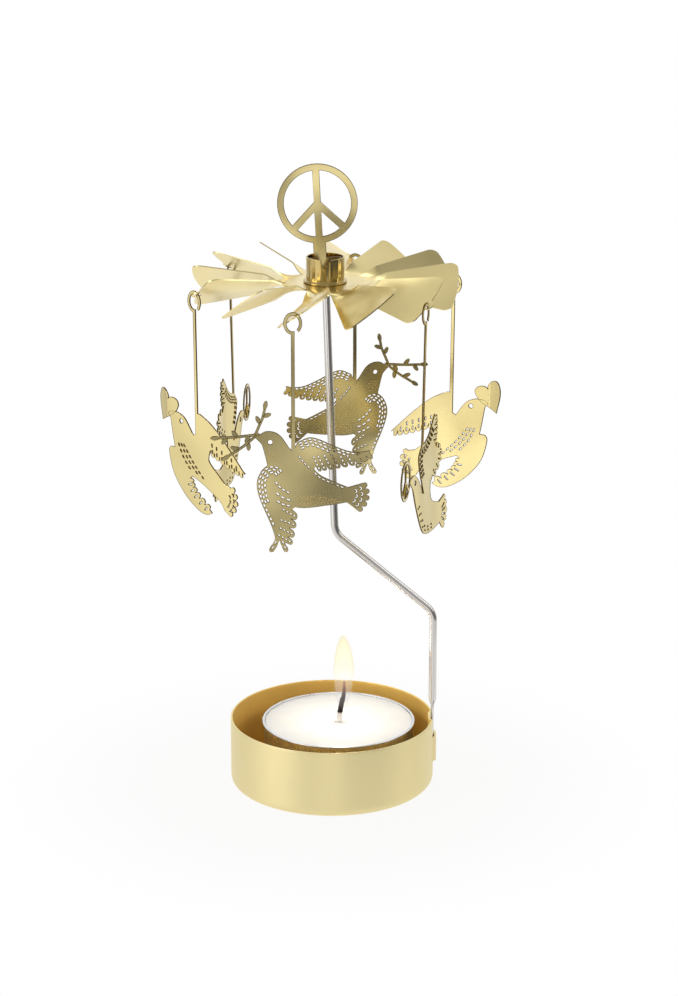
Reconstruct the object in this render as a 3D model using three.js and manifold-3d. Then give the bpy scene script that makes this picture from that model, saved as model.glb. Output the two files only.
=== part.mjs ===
// Rotating candle holder: a cup for one tealight, a bent wire post and a vane wheel with six pendants.
// Millimetres, +Z up. The origin is the centre of the cup's underside, and -Y is the front.
import * as THREE from 'three';
import { mergeVertices } from 'three/addons/utils/BufferGeometryUtils.js';
import Module from 'manifold-3d';

const wasm = await Module();
wasm.setup();

// Cup: drawn sheet with a plain rim
const cupRadius = 26.5;
const cupHeight = 17.8;
const cupSheet = 0.5;
const cupCorner = 2.2;

// Pocket lanced in the cup's right wall: a tab pressed inward above a strap pressed outward
const strapBottom = 6.1;
const strapTop = 12.7;
const lanceSlit = 0.3;
const pocketEase = 1.6;
const pocketGap = 0.15;

// Post: round wire with a flattened tongue at its foot and a needle point at its top
const wireDiameter = 2;
const tongueThickness = 0.8;
const tongueWidth = 3.4;
const tongueBottom = 6.6;
const tongueShoulder = 21.7;
const shoulderTaper = 1.6;
const lowerBendHeight = 46.5;
const upperBendHeight = 67.6;
const upperBendX = 0.4;
const bendRadius = 5;
const needleLength = 5;
const needleTip = 0.12;
const needleX = -1.6;

// Vane wheel: one sheet, slit into vanes that are twisted at their roots
const vaneCount = 12;
const wheelHeight = 133.8;
const wheelSheet = 0.3;
const plateRadius = 9.5;
const vaneRadius = 33.4;
const vanePitch = THREE.MathUtils.degToRad(34.5);
const vaneHalfAngle = THREE.MathUtils.degToRad(14.5);
const vaneCorner = 2.2;
const twistLength = 6.5;
const firstVane = THREE.MathUtils.degToRad(80.5);

// Ears: a pierced lug on the outer edge of every other vane
const earRadius = 1.5;
const earHole = 0.95;
const earInset = 0.2;
const earChord = -1.3;

// Hub: drawn tube staked in the plate, with a web that rides on the needle and a notched rim
const hubRadius = 4.8;
const hubSheet = 0.4;
const hubRise = 6.6;
const hubWebRise = 3.4;
const hubFlange = 0.7;
const hubSeat = 0.1;
const hubDimple = 0.25;
const dimpleRadius = 0.7;
const needleGap = 0.1;
const notchWidth = 3.1;

// Finial: flat peace sign on a stem, with a wide foot that stands in the hub
const finialRadius = 9.95;
const finialBand = 1.55;
const finialBar = 1.65;
const finialStem = 3.1;
const finialStemHeight = 3.9;
const finialSheet = 0.5;
const finialFootHeight = 2.4;
const finialShift = -1.1;
const finialLean = THREE.MathUtils.degToRad(2.9);
const finialGap = 0.25;

// Pendants: flat sheet with an open ring, a hanging strip and a bird
const pendantSheet = 0.3;
const ringWidth = 4.5;
const ringHeight = 5.5;
const ringBand = 0.75;
const ringOpening = THREE.MathUtils.degToRad(-50);
const ringInset = 0.675;
const ringRise = 0.1;
const stripWidth = 0.85;
const stripLength = 32;
const branchStripLength = 30.6;
const slotWidth = 0.42;
const eyeRadius = 0.55;
const twigWidth = 0.62;
const leafLength = 1.9;
const leafWidth = 0.85;
const heartWidth = 7.8;
const heartDrop = 6.6;
const heartTilt = THREE.MathUtils.degToRad(-25);
const heartFold = THREE.MathUtils.degToRad(16);
const signRadius = 5;
const signBand = 0.75;
const signTurn = THREE.MathUtils.degToRad(9);

// The birds' outlines are drawn on squared paper whose squares have this width
const birdGrid = 1;

// Tealight: foil shell, wax, wick and the tin sustainer that holds the wick
const tealightX = 1.7;
const tealightRadius = 19.5;
const tealightHeight = 16.3;
const foil = 0.25;
const foilBead = 0.45;
const waxGap = 0.1;
const waxDrop = 0.5;
const waxDish = 0.5;
const wickDiameter = 1.5;
const wickHeight = 7.4;
const wickLean = 1.3;
const sustainerRadius = 6;
const sustainerSheet = 0.3;
const sustainerNeck = 3.2;
const wickGap = 0.1;

// Roundness of the facets
const cupSides = 40;
const smallSides = 28;
const wireSides = 10;

// Materials
const brass = { color: 0xd8c27a, metalness: 1, roughness: 0.28 };
const richBrass = { color: 0xd9b45a, metalness: 1, roughness: 0.12 };
const steel = { color: 0xb9b6b2, metalness: 1, roughness: 0.22 };
const aluminium = { color: 0xd6d8da, metalness: 1, roughness: 0.3 };
const tin = { color: 0xb8b9ba, metalness: 1, roughness: 0.4 };
const paraffin = { color: 0xf4f2ea, metalness: 0, roughness: 0.45 };
const charredCotton = { color: 0x2a211b, metalness: 0, roughness: 0.9 };

const holder = new THREE.Group();

// Welds equal corners together and drops triangles that have no area
function weld(geometry) {
  const bare = geometry.clone();
  bare.deleteAttribute('normal');
  bare.deleteAttribute('uv');
  const welded = mergeVertices(bare, 1e-4);
  const kept = [];
  const index = welded.index.array;
  for (let i = 0; i < index.length; i += 3) {
    const [a, b, c] = [index[i], index[i + 1], index[i + 2]];
    if (a !== b && b !== c && c !== a) kept.push(a, b, c);
  }
  welded.setIndex(kept);
  welded.computeVertexNormals();
  return welded;
}

function toSolid(geometry) {
  const welded = weld(geometry);
  return new wasm.Manifold(new wasm.Mesh({
    numProp: 3,
    vertProperties: new Float32Array(welded.attributes.position.array),
    triVerts: new Uint32Array(welded.index.array),
  }));
}

function toGeometry(solid) {
  const mesh = solid.getMesh();
  const geometry = new THREE.BufferGeometry();
  geometry.setAttribute('position', new THREE.BufferAttribute(mesh.vertProperties, 3));
  geometry.setIndex(new THREE.BufferAttribute(mesh.triVerts, 1));
  return weld(geometry);
}

function addPart(parent, name, geometry, finish) {
  const mesh = new THREE.Mesh(geometry, new THREE.MeshStandardMaterial(finish));
  mesh.name = name;
  parent.add(mesh);
  return mesh;
}

const toVectors = (points) => points.map(([x, y]) => new THREE.Vector2(x, y));

// A turned piece from a profile of [radius, height] pairs, about Z
function turned(profile, sides) {
  return new THREE.LatheGeometry(toVectors(profile), sides).rotateX(Math.PI / 2);
}

// Quarter bend from one angle to another, as [radius, height] pairs
function bend(centreX, centreY, radius, from, to, steps) {
  const points = [];
  for (let i = 0; i <= steps; i += 1) {
    const angle = from + ((to - from) * i) / steps;
    points.push([centreX + radius * Math.cos(angle), centreY + radius * Math.sin(angle)]);
  }
  return points;
}

// A flat sheet piece from a Shape, centred on its thickness
function flatSheet(shape, thickness, curveSegments = 8) {
  const settings = { depth: thickness, bevelEnabled: false, curveSegments };
  return new THREE.ExtrudeGeometry(shape, settings).translate(0, 0, -thickness / 2);
}

// Cup
const wallRadius = cupRadius - cupSheet / 2;
const pocketOffset = cupSheet / 2 + pocketGap + tongueThickness / 2;
const pocketHalf = tongueWidth / 2 + pocketGap;
const pocketEnd = pocketHalf + pocketEase;

// The pressed wall seen from above: it follows the round wall and steps aside over the pocket
function pressedWall(offset, height) {
  const steps = 16;
  const inner = [];
  const outer = [];
  for (let i = 0; i <= steps; i += 1) {
    const y = -pocketEnd + (2 * pocketEnd * i) / steps;
    const step = 1 - THREE.MathUtils.smoothstep(Math.abs(y), pocketHalf, pocketEnd);
    const x = Math.sqrt(wallRadius ** 2 - y ** 2) + offset * step;
    inner.push([x - cupSheet / 2, y]);
    outer.unshift([x + cupSheet / 2, y]);
  }
  const shape = new THREE.Shape(toVectors([...inner, ...outer]));
  return new THREE.ExtrudeGeometry(shape, { depth: height, bevelEnabled: false });
}

function makeCup() {
  const inside = cupRadius - cupSheet;
  const cornerCentre = cupRadius - cupCorner;
  const profile = [
    [0, 0],
    ...bend(cornerCentre, cupCorner, cupCorner, -Math.PI / 2, 0, 3),
    [cupRadius, cupHeight],
    [inside, cupHeight],
    ...bend(cornerCentre, cupCorner, cupCorner - cupSheet, 0, -Math.PI / 2, 3),
    [0, cupSheet],
  ];
  const windowBottom = strapBottom - lanceSlit;
  const windowHeight = cupHeight - windowBottom + 1;
  const overlap = 0.15;
  const windowWidth = 2 * (pocketEnd - overlap);
  const depth = 4 * pocketOffset;
  const windowBox = new THREE.BoxGeometry(depth, windowWidth, windowHeight);
  windowBox.translate(wallRadius, 0, windowBottom + windowHeight / 2);
  const tabBottom = strapTop + lanceSlit;
  const tab = pressedWall(-pocketOffset, cupHeight - tabBottom).translate(0, 0, tabBottom);
  const strap = pressedWall(pocketOffset, strapTop - strapBottom).translate(0, 0, strapBottom);
  const cut = toSolid(turned(profile, cupSides)).subtract(toSolid(windowBox));
  return toGeometry(cut.add(toSolid(tab)).add(toSolid(strap)));
}

addPart(holder, 'base_cup', makeCup(), brass);

// Post
const postX = wallRadius;
const hubTop = wheelHeight + hubRise;
const hubWebTop = wheelHeight + hubWebRise;
const hubWebBottom = hubWebTop - hubSheet;
const needleTop = hubWebBottom + hubDimple - needleGap;

// The wire's centre line: straight runs joined by round bends, with its steps spent on the bends
class BentWire extends THREE.Curve {
  constructor(corners, radius, bendSteps) {
    super();
    this.stations = [];
    let start = corners[0];
    for (let i = 1; i < corners.length - 1; i += 1) {
      const toPrevious = corners[i - 1].clone().sub(corners[i]).normalize();
      const toNext = corners[i + 1].clone().sub(corners[i]).normalize();
      const reach = radius / Math.tan(toPrevious.angleTo(toNext) / 2);
      const before = corners[i].clone().addScaledVector(toPrevious, reach);
      const after = corners[i].clone().addScaledVector(toNext, reach);
      this.stations.push([new THREE.LineCurve3(start, before), 0]);
      const arc = new THREE.QuadraticBezierCurve3(before, corners[i], after);
      for (let step = 0; step < bendSteps; step += 1) this.stations.push([arc, step / bendSteps]);
      start = after;
    }
    const last = new THREE.LineCurve3(start, corners[corners.length - 1]);
    this.stations.push([last, 0], [last, 1]);
  }

  get steps() {
    return this.stations.length - 1;
  }

  getPointAt(u, target = new THREE.Vector3()) {
    const [run, place] = this.stations[Math.round(u * this.steps)];
    return target.copy(run.getPoint(place));
  }

  getTangentAt(u, target = new THREE.Vector3()) {
    const [run, place] = this.stations[Math.round(u * this.steps)];
    return target.copy(run.getTangent(place));
  }
}

function circleShape(radius, sides) {
  const points = [];
  for (let i = 0; i < sides; i += 1) {
    const angle = (2 * Math.PI * i) / sides;
    points.push(new THREE.Vector2(radius * Math.cos(angle), radius * Math.sin(angle)));
  }
  return new THREE.Shape(points);
}

function makePost() {
  const radius = wireDiameter / 2;
  const top = new THREE.Vector3(needleX, 0, needleTop);
  const upperBend = new THREE.Vector3(upperBendX, 0, upperBendHeight);
  const lean = top.clone().sub(upperBend).normalize();
  const wireTop = top.clone().addScaledVector(lean, -needleLength);
  const corners = [
    new THREE.Vector3(postX, 0, tongueShoulder),
    new THREE.Vector3(postX, 0, lowerBendHeight),
    upperBend,
    wireTop,
  ];
  const path = new BentWire(corners, bendRadius, 5);
  const settings = { steps: path.steps, extrudePath: path, bevelEnabled: false };
  const wire = new THREE.ExtrudeGeometry(circleShape(radius, wireSides), settings);
  const sink = 0.5;
  const sunkRadius = radius * 0.98;
  const needle = new THREE.CylinderGeometry(needleTip, sunkRadius, needleLength + sink, wireSides);
  needle.translate(0, (needleLength - sink) / 2, 0);
  const upright = new THREE.Vector3(0, 1, 0);
  needle.applyQuaternion(new THREE.Quaternion().setFromUnitVectors(upright, lean));
  needle.translate(wireTop.x, 0, wireTop.z);
  const half = tongueWidth / 2;
  const outline = [
    [-half, tongueBottom + half / 2],
    [-half / 2, tongueBottom],
    [half / 2, tongueBottom],
    [half, tongueBottom + half / 2],
    [half, tongueShoulder - shoulderTaper],
    [radius * 0.9, tongueShoulder + sink],
    [-radius * 0.9, tongueShoulder + sink],
    [-half, tongueShoulder - shoulderTaper],
  ];
  const tongue = flatSheet(new THREE.Shape(toVectors(outline)), tongueThickness);
  tongue.rotateX(Math.PI / 2).rotateZ(Math.PI / 2).translate(postX, 0, 0);
  return toGeometry(toSolid(wire).add(toSolid(needle)).add(toSolid(tongue)));
}

addPart(holder, 'post', makePost(), steel);

// Vane wheel
const rotor = new THREE.Group();
rotor.position.x = needleX;
holder.add(rotor);

const earReach = vaneRadius - earInset;
const vaneStep = (2 * Math.PI) / vaneCount;
const vaneRoot = plateRadius - 1;

// Distances from the axis where the vane is divided: close together in the twist and the corner
function vaneStations() {
  const stations = [vaneRoot];
  const twistSteps = 3;
  for (let i = 0; i <= twistSteps; i += 1) stations.push(plateRadius + (twistLength * i) / twistSteps);
  const cornerStart = vaneRadius - vaneCorner;
  const cornerSteps = 3;
  for (let i = 0; i <= cornerSteps; i += 1) {
    stations.push(cornerStart + vaneCorner * Math.sin((Math.PI * i) / (2 * cornerSteps)));
  }
  return stations;
}

// One vane along +X: a flat slab whose corners are moved to the tapered, rounded and twisted sheet
function makeVane() {
  const stations = vaneStations();
  const slab = new THREE.BoxGeometry(stations.length - 1, 2, 1, stations.length - 1, 2, 1);
  const corner = slab.attributes.position;
  const cornerStart = vaneRadius - vaneCorner;
  for (let i = 0; i < corner.count; i += 1) {
    const reach = stations[Math.round(corner.getX(i) + (stations.length - 1) / 2)];
    const past = Math.max(0, reach - cornerStart);
    const rounding = vaneCorner - Math.sqrt(Math.max(0, vaneCorner ** 2 - past ** 2));
    const chord = corner.getY(i) * (reach * Math.sin(vaneHalfAngle) - rounding);
    const twist = vanePitch * THREE.MathUtils.smoothstep(reach, plateRadius, plateRadius + twistLength);
    const lift = corner.getZ(i) * wheelSheet;
    corner.setXYZ(
      i,
      Math.sqrt(reach ** 2 - chord ** 2),
      chord * Math.cos(twist) - lift * Math.sin(twist),
      chord * Math.sin(twist) + lift * Math.cos(twist),
    );
  }
  return slab;
}

// A round disc in the plane of a pitched vane, at its ear
function earDisc(radius, thickness, sides) {
  const disc = new THREE.CylinderGeometry(radius, radius, thickness, sides).rotateX(Math.PI / 2);
  return disc.translate(earReach, earChord, 0).rotateX(vanePitch);
}

function makeWheel() {
  const plate = circleShape(plateRadius, 2 * vaneCount);
  plate.holes.push(circleShape(hubRadius + hubSeat, 2 * vaneCount));
  let wheel = toSolid(flatSheet(plate, wheelSheet).rotateZ(firstVane));
  for (let i = 0; i < vaneCount; i += 1) {
    let vane = toSolid(makeVane().rotateZ(firstVane - i * vaneStep));
    if (i % 2 === 0) {
      const ear = earDisc(earRadius, wheelSheet, 11).rotateZ(firstVane - i * vaneStep);
      const hole = earDisc(earHole, 4 * wheelSheet, 9).rotateZ(firstVane - i * vaneStep);
      vane = vane.add(toSolid(ear)).subtract(toSolid(hole));
    }
    wheel = wheel.add(vane);
  }
  return toGeometry(wheel).translate(0, 0, wheelHeight);
}

addPart(rotor, 'vane_wheel', makeWheel(), brass);

// Hub
const plateTop = wheelHeight + wheelSheet / 2;
const plateBottom = wheelHeight - wheelSheet / 2;

function makeHub() {
  const bore = hubRadius - hubSheet;
  const flangeRadius = hubRadius + hubFlange;
  const flangeTop = plateBottom - hubSeat;
  const shoulderBottom = plateTop + hubSeat;
  const profile = [
    [0, hubWebBottom + hubDimple],
    [dimpleRadius, hubWebBottom],
    [bore, hubWebBottom],
    [bore, flangeTop - hubSheet],
    [flangeRadius, flangeTop - hubSheet],
    [flangeRadius, flangeTop],
    [hubRadius, flangeTop],
    [hubRadius, shoulderBottom],
    [flangeRadius, shoulderBottom],
    [flangeRadius, shoulderBottom + hubSheet],
    [hubRadius, shoulderBottom + hubSheet],
    [hubRadius, hubTop],
    [bore, hubTop],
    [bore, hubWebTop],
    [dimpleRadius, hubWebTop],
    [0, hubWebTop + hubDimple],
  ];
  const notch = new THREE.Shape(toVectors([
    [-notchWidth / 2, hubTop + hubSheet],
    [0, hubWebTop],
    [notchWidth / 2, hubTop + hubSheet],
  ]));
  const cutter = new THREE.ExtrudeGeometry(notch, { depth: hubRadius, bevelEnabled: false });
  cutter.rotateX(Math.PI / 2).translate(0, -bore / 2, 0);
  return toGeometry(toSolid(turned(profile, smallSides)).subtract(toSolid(cutter)));
}

addPart(rotor, 'hub', makeHub(), richBrass);

// A peace sign: ring, upright bar and two slanting bars, all in one sheet
function peaceSign(radius, band, bar, thickness, sides) {
  const ring = circleShape(radius, sides);
  ring.holes.push(circleShape(radius - band, sides));
  let sign = toSolid(flatSheet(ring, thickness));
  const reach = radius - band / 2;
  const upright = new THREE.BoxGeometry(bar, 2 * reach, thickness);
  sign = sign.add(toSolid(upright));
  for (const side of [-1, 1]) {
    const slant = new THREE.BoxGeometry(bar, reach, thickness).translate(0, -reach / 2, 0);
    sign = sign.add(toSolid(slant.rotateZ((side * Math.PI) / 4)));
  }
  return sign;
}

// Finial
function makeFinial() {
  const footBottom = hubWebTop + hubDimple + finialGap;
  const footHalf = hubRadius - hubSheet - finialGap;
  const footTop = footBottom + finialFootHeight;
  const ringCentre = footTop + finialStemHeight + finialRadius;
  const stemTop = ringCentre - finialRadius + finialBand / 2;
  const half = finialStem / 2;
  const outline = [
    [-footHalf, footBottom],
    [footHalf, footBottom],
    [footHalf, footTop],
    [finialShift + half, footTop],
    [finialShift + half, stemTop],
    [finialShift - half, stemTop],
    [finialShift - half, footTop],
    [-footHalf, footTop],
  ];
  const foot = flatSheet(new THREE.Shape(toVectors(outline)), finialSheet);
  const sign = peaceSign(finialRadius, finialBand, finialBar, finialSheet, 40);
  const placed = toGeometry(sign).translate(finialShift, ringCentre, 0);
  const finial = toGeometry(toSolid(foot).add(toSolid(placed)));
  finial.translate(0, -footBottom, 0).rotateZ(finialLean).translate(0, footBottom, 0);
  return finial.rotateX(Math.PI / 2);
}

addPart(rotor, 'finial', makeFinial(), brass);

// Pendants
const onGrid = (points) => points.map(([x, y]) => new THREE.Vector2(x * birdGrid, y * birdGrid));
const flow = (points, steps) => new THREE.SplineCurve(onGrid(points)).getPoints(steps);

// Feathers side by side along a curve: where each starts, how wide it is and where it points
function featherRow(points, count, lean) {
  const edge = new THREE.SplineCurve(onGrid(points));
  const row = [];
  for (let i = 0; i < count; i += 1) {
    const root = edge.getPoint(i / count);
    const width = edge.getPoint((i + 1) / count).sub(root);
    const heading = width.clone().normalize();
    const out = new THREE.Vector2(-heading.y, heading.x).addScaledVector(heading, lean);
    row.push({ root, width, out });
  }
  return row;
}

// The rounded ends of a row of feathers, on the left of its curve
function featherEnds(row, length) {
  const outline = [];
  for (const { root, width, out } of row) {
    outline.push(root);
    for (const [share, rise] of [[0.12, 0.72], [0.46, 1], [0.86, 0.74]]) {
      const reach = rise * length * birdGrid;
      outline.push(root.clone().addScaledVector(width, share).addScaledVector(out, reach));
    }
  }
  const last = row[row.length - 1];
  outline.push(last.root.clone().add(last.width));
  return outline;
}

// Open ring and hanging strip: up the strip's left side, round the ring and down the right side
function ringAndStrip(length, footX, leftFoot, rightFoot) {
  const half = stripWidth / 2;
  const outerX = ringWidth / 2;
  const outerY = ringHeight / 2;
  const innerX = outerX - ringBand;
  const innerY = outerY - ringBand;
  const outerStart = 2 * Math.PI - Math.acos(-half / outerX);
  const innerEnd = 2 * Math.PI - Math.acos(half / innerX);
  const outside = new THREE.EllipseCurve(0, 0, outerX, outerY, outerStart, ringOpening, true);
  const inside = new THREE.EllipseCurve(0, 0, innerX, innerY, ringOpening, innerEnd, false);
  const lift = new THREE.Vector2(0, length);
  return [
    new THREE.Vector2(footX * birdGrid - half, leftFoot * birdGrid),
    ...outside.getPoints(10).map((point) => point.add(lift)),
    ...inside.getPoints(8).map((point) => point.add(lift)),
    new THREE.Vector2(footX * birdGrid + half, rightFoot * birdGrid),
  ];
}

// A short slot, centred at a place and laid along a direction
function slot(centre, direction, length, width) {
  const along = direction.clone().normalize().multiplyScalar(length / 2);
  const across = new THREE.Vector2(-along.y, along.x).normalize().multiplyScalar(width / 2);
  const corner = (a, b) => centre.clone().addScaledVector(along, a).addScaledVector(across, b);
  return new THREE.Path([corner(-1, -1), corner(1, -1), corner(1, 1), corner(-1, 1)]);
}

// A row of slots that follows a curve like stitches
function stitches(points, count, fill) {
  const seam = new THREE.SplineCurve(onGrid(points));
  const length = (seam.getLength() / count) * fill;
  const row = [];
  for (let i = 0; i < count; i += 1) {
    const place = (i + 0.5) / count;
    row.push(slot(seam.getPointAt(place), seam.getTangentAt(place), length, slotWidth));
  }
  return row;
}

// A slot along each feather of a row, from inside the wing to near the feather's end
function featherSlots(row, inward, outward) {
  return row.map(({ root, width, out }) => {
    const middle = root.clone().addScaledVector(width, 0.5);
    const centre = middle.addScaledVector(out, (birdGrid * (outward - inward)) / 2);
    return slot(centre, out, birdGrid * (inward + outward) * out.length(), slotWidth);
  });
}

function eye(x, y) {
  const sides = 8;
  const lastAngle = (2 * Math.PI * (sides - 1)) / sides;
  return new THREE.Path(toVectors(bend(x * birdGrid, y * birdGrid, eyeRadius, 0, lastAngle, sides - 1)));
}

// A fan tail: feathers round a centre, from an upper angle to a lower one in degrees
function tailRow(x, y, radius, upper, lower) {
  const from = THREE.MathUtils.degToRad(upper);
  const to = THREE.MathUtils.degToRad(lower);
  return featherRow(bend(x, y, radius, from, to, 4), 5, 0);
}

function birdSheet(outline, holes) {
  const shape = new THREE.Shape(outline);
  shape.holes.push(...holes);
  return flatSheet(shape, pendantSheet);
}

// A twig through points, with leaves on alternating sides
function twig(points, leafCount) {
  const stem = new THREE.SplineCurve(onGrid(points));
  const left = [];
  const right = [];
  const steps = 3;
  for (let i = 0; i <= steps; i += 1) {
    const place = stem.getPointAt(i / steps);
    const along = stem.getTangentAt(i / steps);
    const across = new THREE.Vector2(-along.y, along.x).multiplyScalar(twigWidth / 2);
    left.push(place.clone().add(across));
    right.unshift(place.clone().sub(across));
  }
  let branch = toSolid(flatSheet(new THREE.Shape([...left, ...right]), pendantSheet));
  for (let i = 0; i < leafCount; i += 1) {
    const share = (i + 1) / leafCount;
    const place = stem.getPointAt(share);
    const side = i % 2 === 0 ? 1 : -1;
    const heading = stem.getTangentAt(share).angle() + (share < 1 ? side * 0.9 : 0);
    const leaf = flatSheet(circleShape(0.5, 6), pendantSheet).scale(leafLength, leafWidth, 1);
    leaf.translate(leafLength * 0.45, 0, 0).rotateZ(heading).translate(place.x, place.y, 0);
    branch = branch.add(toSolid(leaf));
  }
  return branch;
}

// Dove with a branch in its beak
function branchDove() {
  const raised = featherRow([[18.6, -2], [13.7, -3.8], [9.4, -4.5], [5.4, -5.1]], 6, -0.3);
  const tail = tailRow(13, -12.5, 4.6, 38, -58);
  const lowered = featherRow([[-0.4, -16.1], [-1, -18.3], [-1.4, -21.6], [-2.1, -24.5]], 4, 0.3);
  const outline = [
    ...ringAndStrip(branchStripLength, 0, -1, -0.3),
    ...flow([[1, 0.9], [3.75, 2.1], [6.3, 1.6], [9.75, 0], [13.3, -1.4], [16.2, -1.7], [18.7, -1.2]], 11),
    ...featherEnds(raised, 1.5),
    ...flow([[5, -5.9], [6.8, -7.6], [10.5, -9.4], [13.3, -10.6]], 4),
    ...featherEnds(tail, 1.1),
    ...flow([[13, -14.4], [10, -14.9], [3.5, -15.7], [0.3, -15.5]], 4),
    ...featherEnds(lowered, 1.8),
    ...onGrid([[-1.4, -26.1], [-1.7, -26.8], [-2.5, -26.6], [-3.5, -23.8]]),
    ...onGrid([[-4.2, -25.6], [-5.2, -26.8], [-5.9, -26.6], [-5.1, -24.8]]),
    ...flow([[-4.5, -23.4], [-5.5, -20], [-8.2, -13.3], [-8.9, -9.4], [-7.9, -6.4], [-6.3, -4.8]], 8),
    ...flow([[-6.6, -3.4], [-7.4, -0.2], [-8, 1], [-9.7, 2.7]], 4),
    ...flow([[-8, 3.1], [-6.6, 3.8], [-4.6, 3.6], [-2.9, 2.4], [-1.1, -0.3]], 7),
  ];
  const holes = [
    eye(-5.6, 1.1),
    ...stitches([[-5.5, -6.2], [-7.3, -8], [-7.4, -11], [-6.4, -14.9], [-4.9, -19], [-4.1, -22]], 6, 0.6),
    ...featherSlots(lowered, 0.9, 0.7),
    ...stitches([[1.4, -0.6], [3.2, 0.9], [5.8, 0.5], [9.2, -1.2], [11, -1.9]], 4, 0.6),
    ...featherSlots(raised.slice(1), 0.9, 0.5),
    ...featherSlots(tail, 1.7, 0.2),
  ];
  const bird = toSolid(birdSheet(outline, holes));
  const upTwig = twig([[-9.2, 3], [-8, 5.8], [-7.3, 7.5], [-6.9, 9.4]], 3);
  const longTwig = twig([[-8.2, 3.1], [-13.5, 2.5], [-18, 2.3]], 4);
  const lowTwig = twig([[-9.2, 2.6], [-12, 0.2], [-15.6, -2.2]], 3);
  return bird.add(upTwig).add(longTwig).add(lowTwig);
}

// A heart whose point hangs down, as an outline from its notch
function heartShape(width, drop) {
  const half = width / 2;
  const shape = new THREE.Shape();
  shape.moveTo(0, 0);
  shape.bezierCurveTo(0, drop * 0.26, half, drop * 0.38, half, 0);
  shape.bezierCurveTo(half, -drop * 0.42, half * 0.35, -drop * 0.7, 0, -drop);
  shape.bezierCurveTo(-half * 0.35, -drop * 0.7, -half, -drop * 0.42, -half, 0);
  shape.bezierCurveTo(-half, drop * 0.38, 0, drop * 0.26, 0, 0);
  return shape;
}

// Bends the part of a sheet that lies beyond an upright line back by an angle
function foldBack(sheet, place, angle) {
  const [beyond, kept] = toSolid(sheet).splitByPlane([-1, 0, 0], -place);
  const bent = toGeometry(beyond).translate(-place, 0, -pendantSheet / 2).rotateY(-angle);
  return toGeometry(kept.add(toSolid(bent.translate(place, 0, pendantSheet / 2))));
}

// Dove with a heart at its beak
function heartDove() {
  const raised = featherRow([[16.4, -8.8], [13, -8], [9, -6.5], [5.2, -5.2]], 6, -0.4);
  const tail = tailRow(9.5, -16.8, 4.2, 50, -66);
  const lowered = featherRow([[-2.2, -13.9], [-1.4, -16.2], [0.9, -18.6], [4.6, -20.9]], 5, 0.1);
  const outline = [
    ...ringAndStrip(stripLength, 0.3, -2, 3.4),
    ...flow([[1.5, 3.4], [5.1, 1.7], [8.5, -0.8], [12.4, -4.3], [17.2, -9]], 7),
    ...featherEnds(raised, 1.4),
    ...flow([[4.8, -6.2], [4.6, -8.2], [7.5, -10.9], [10.4, -13.2]], 4),
    ...featherEnds(tail, 1.1),
    ...flow([[10, -20], [8.2, -17.8], [2.6, -14.8], [-1.4, -13.3]], 5),
    ...featherEnds(lowered, 1.1),
    ...flow([[5.5, -21.6], [3.6, -22.4], [0.6, -21.8], [-4, -18.8], [-8.1, -13.9], [-9.8, -8.5], [-9.2, -6.9]], 9),
    ...flow([[-7.7, -6.8], [-8.3, -4], [-8.8, -1.2], [-9.2, 0.6], [-10, 1.6]], 4),
    ...flow([[-9.2, 2.3], [-7.3, 2.5], [-5.3, 2.1], [-3.5, 0.9], [-1, -2.5]], 7),
  ];
  const holes = [
    eye(-5.2, 0.4),
    ...stitches([[2, 2], [5, 0.6], [8.2, -1.9], [11.8, -5.2]], 4, 0.6),
    ...featherSlots(raised.slice(1), 1.1, 0.5),
    ...stitches([[-6.4, -5.4], [-4.4, -7.8], [-1.6, -10.4], [2.4, -13.4]], 4, 0.54),
    ...stitches([[-8.6, -8.6], [-7.2, -13.2], [-4.4, -17], [-0.6, -19.6], [2.8, -21]], 4, 0.6),
    ...featherSlots(tail, 1.7, 0.2),
  ];
  const heart = flatSheet(heartShape(heartWidth, heartDrop), pendantSheet, 4);
  const [notch, fold] = onGrid([[-9.9, 5.3], [-10.4, 0]]);
  heart.rotateZ(heartTilt).translate(notch.x, notch.y, 0);
  return toSolid(birdSheet(outline, holes)).add(toSolid(foldBack(heart, fold.x, heartFold)));
}

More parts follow.
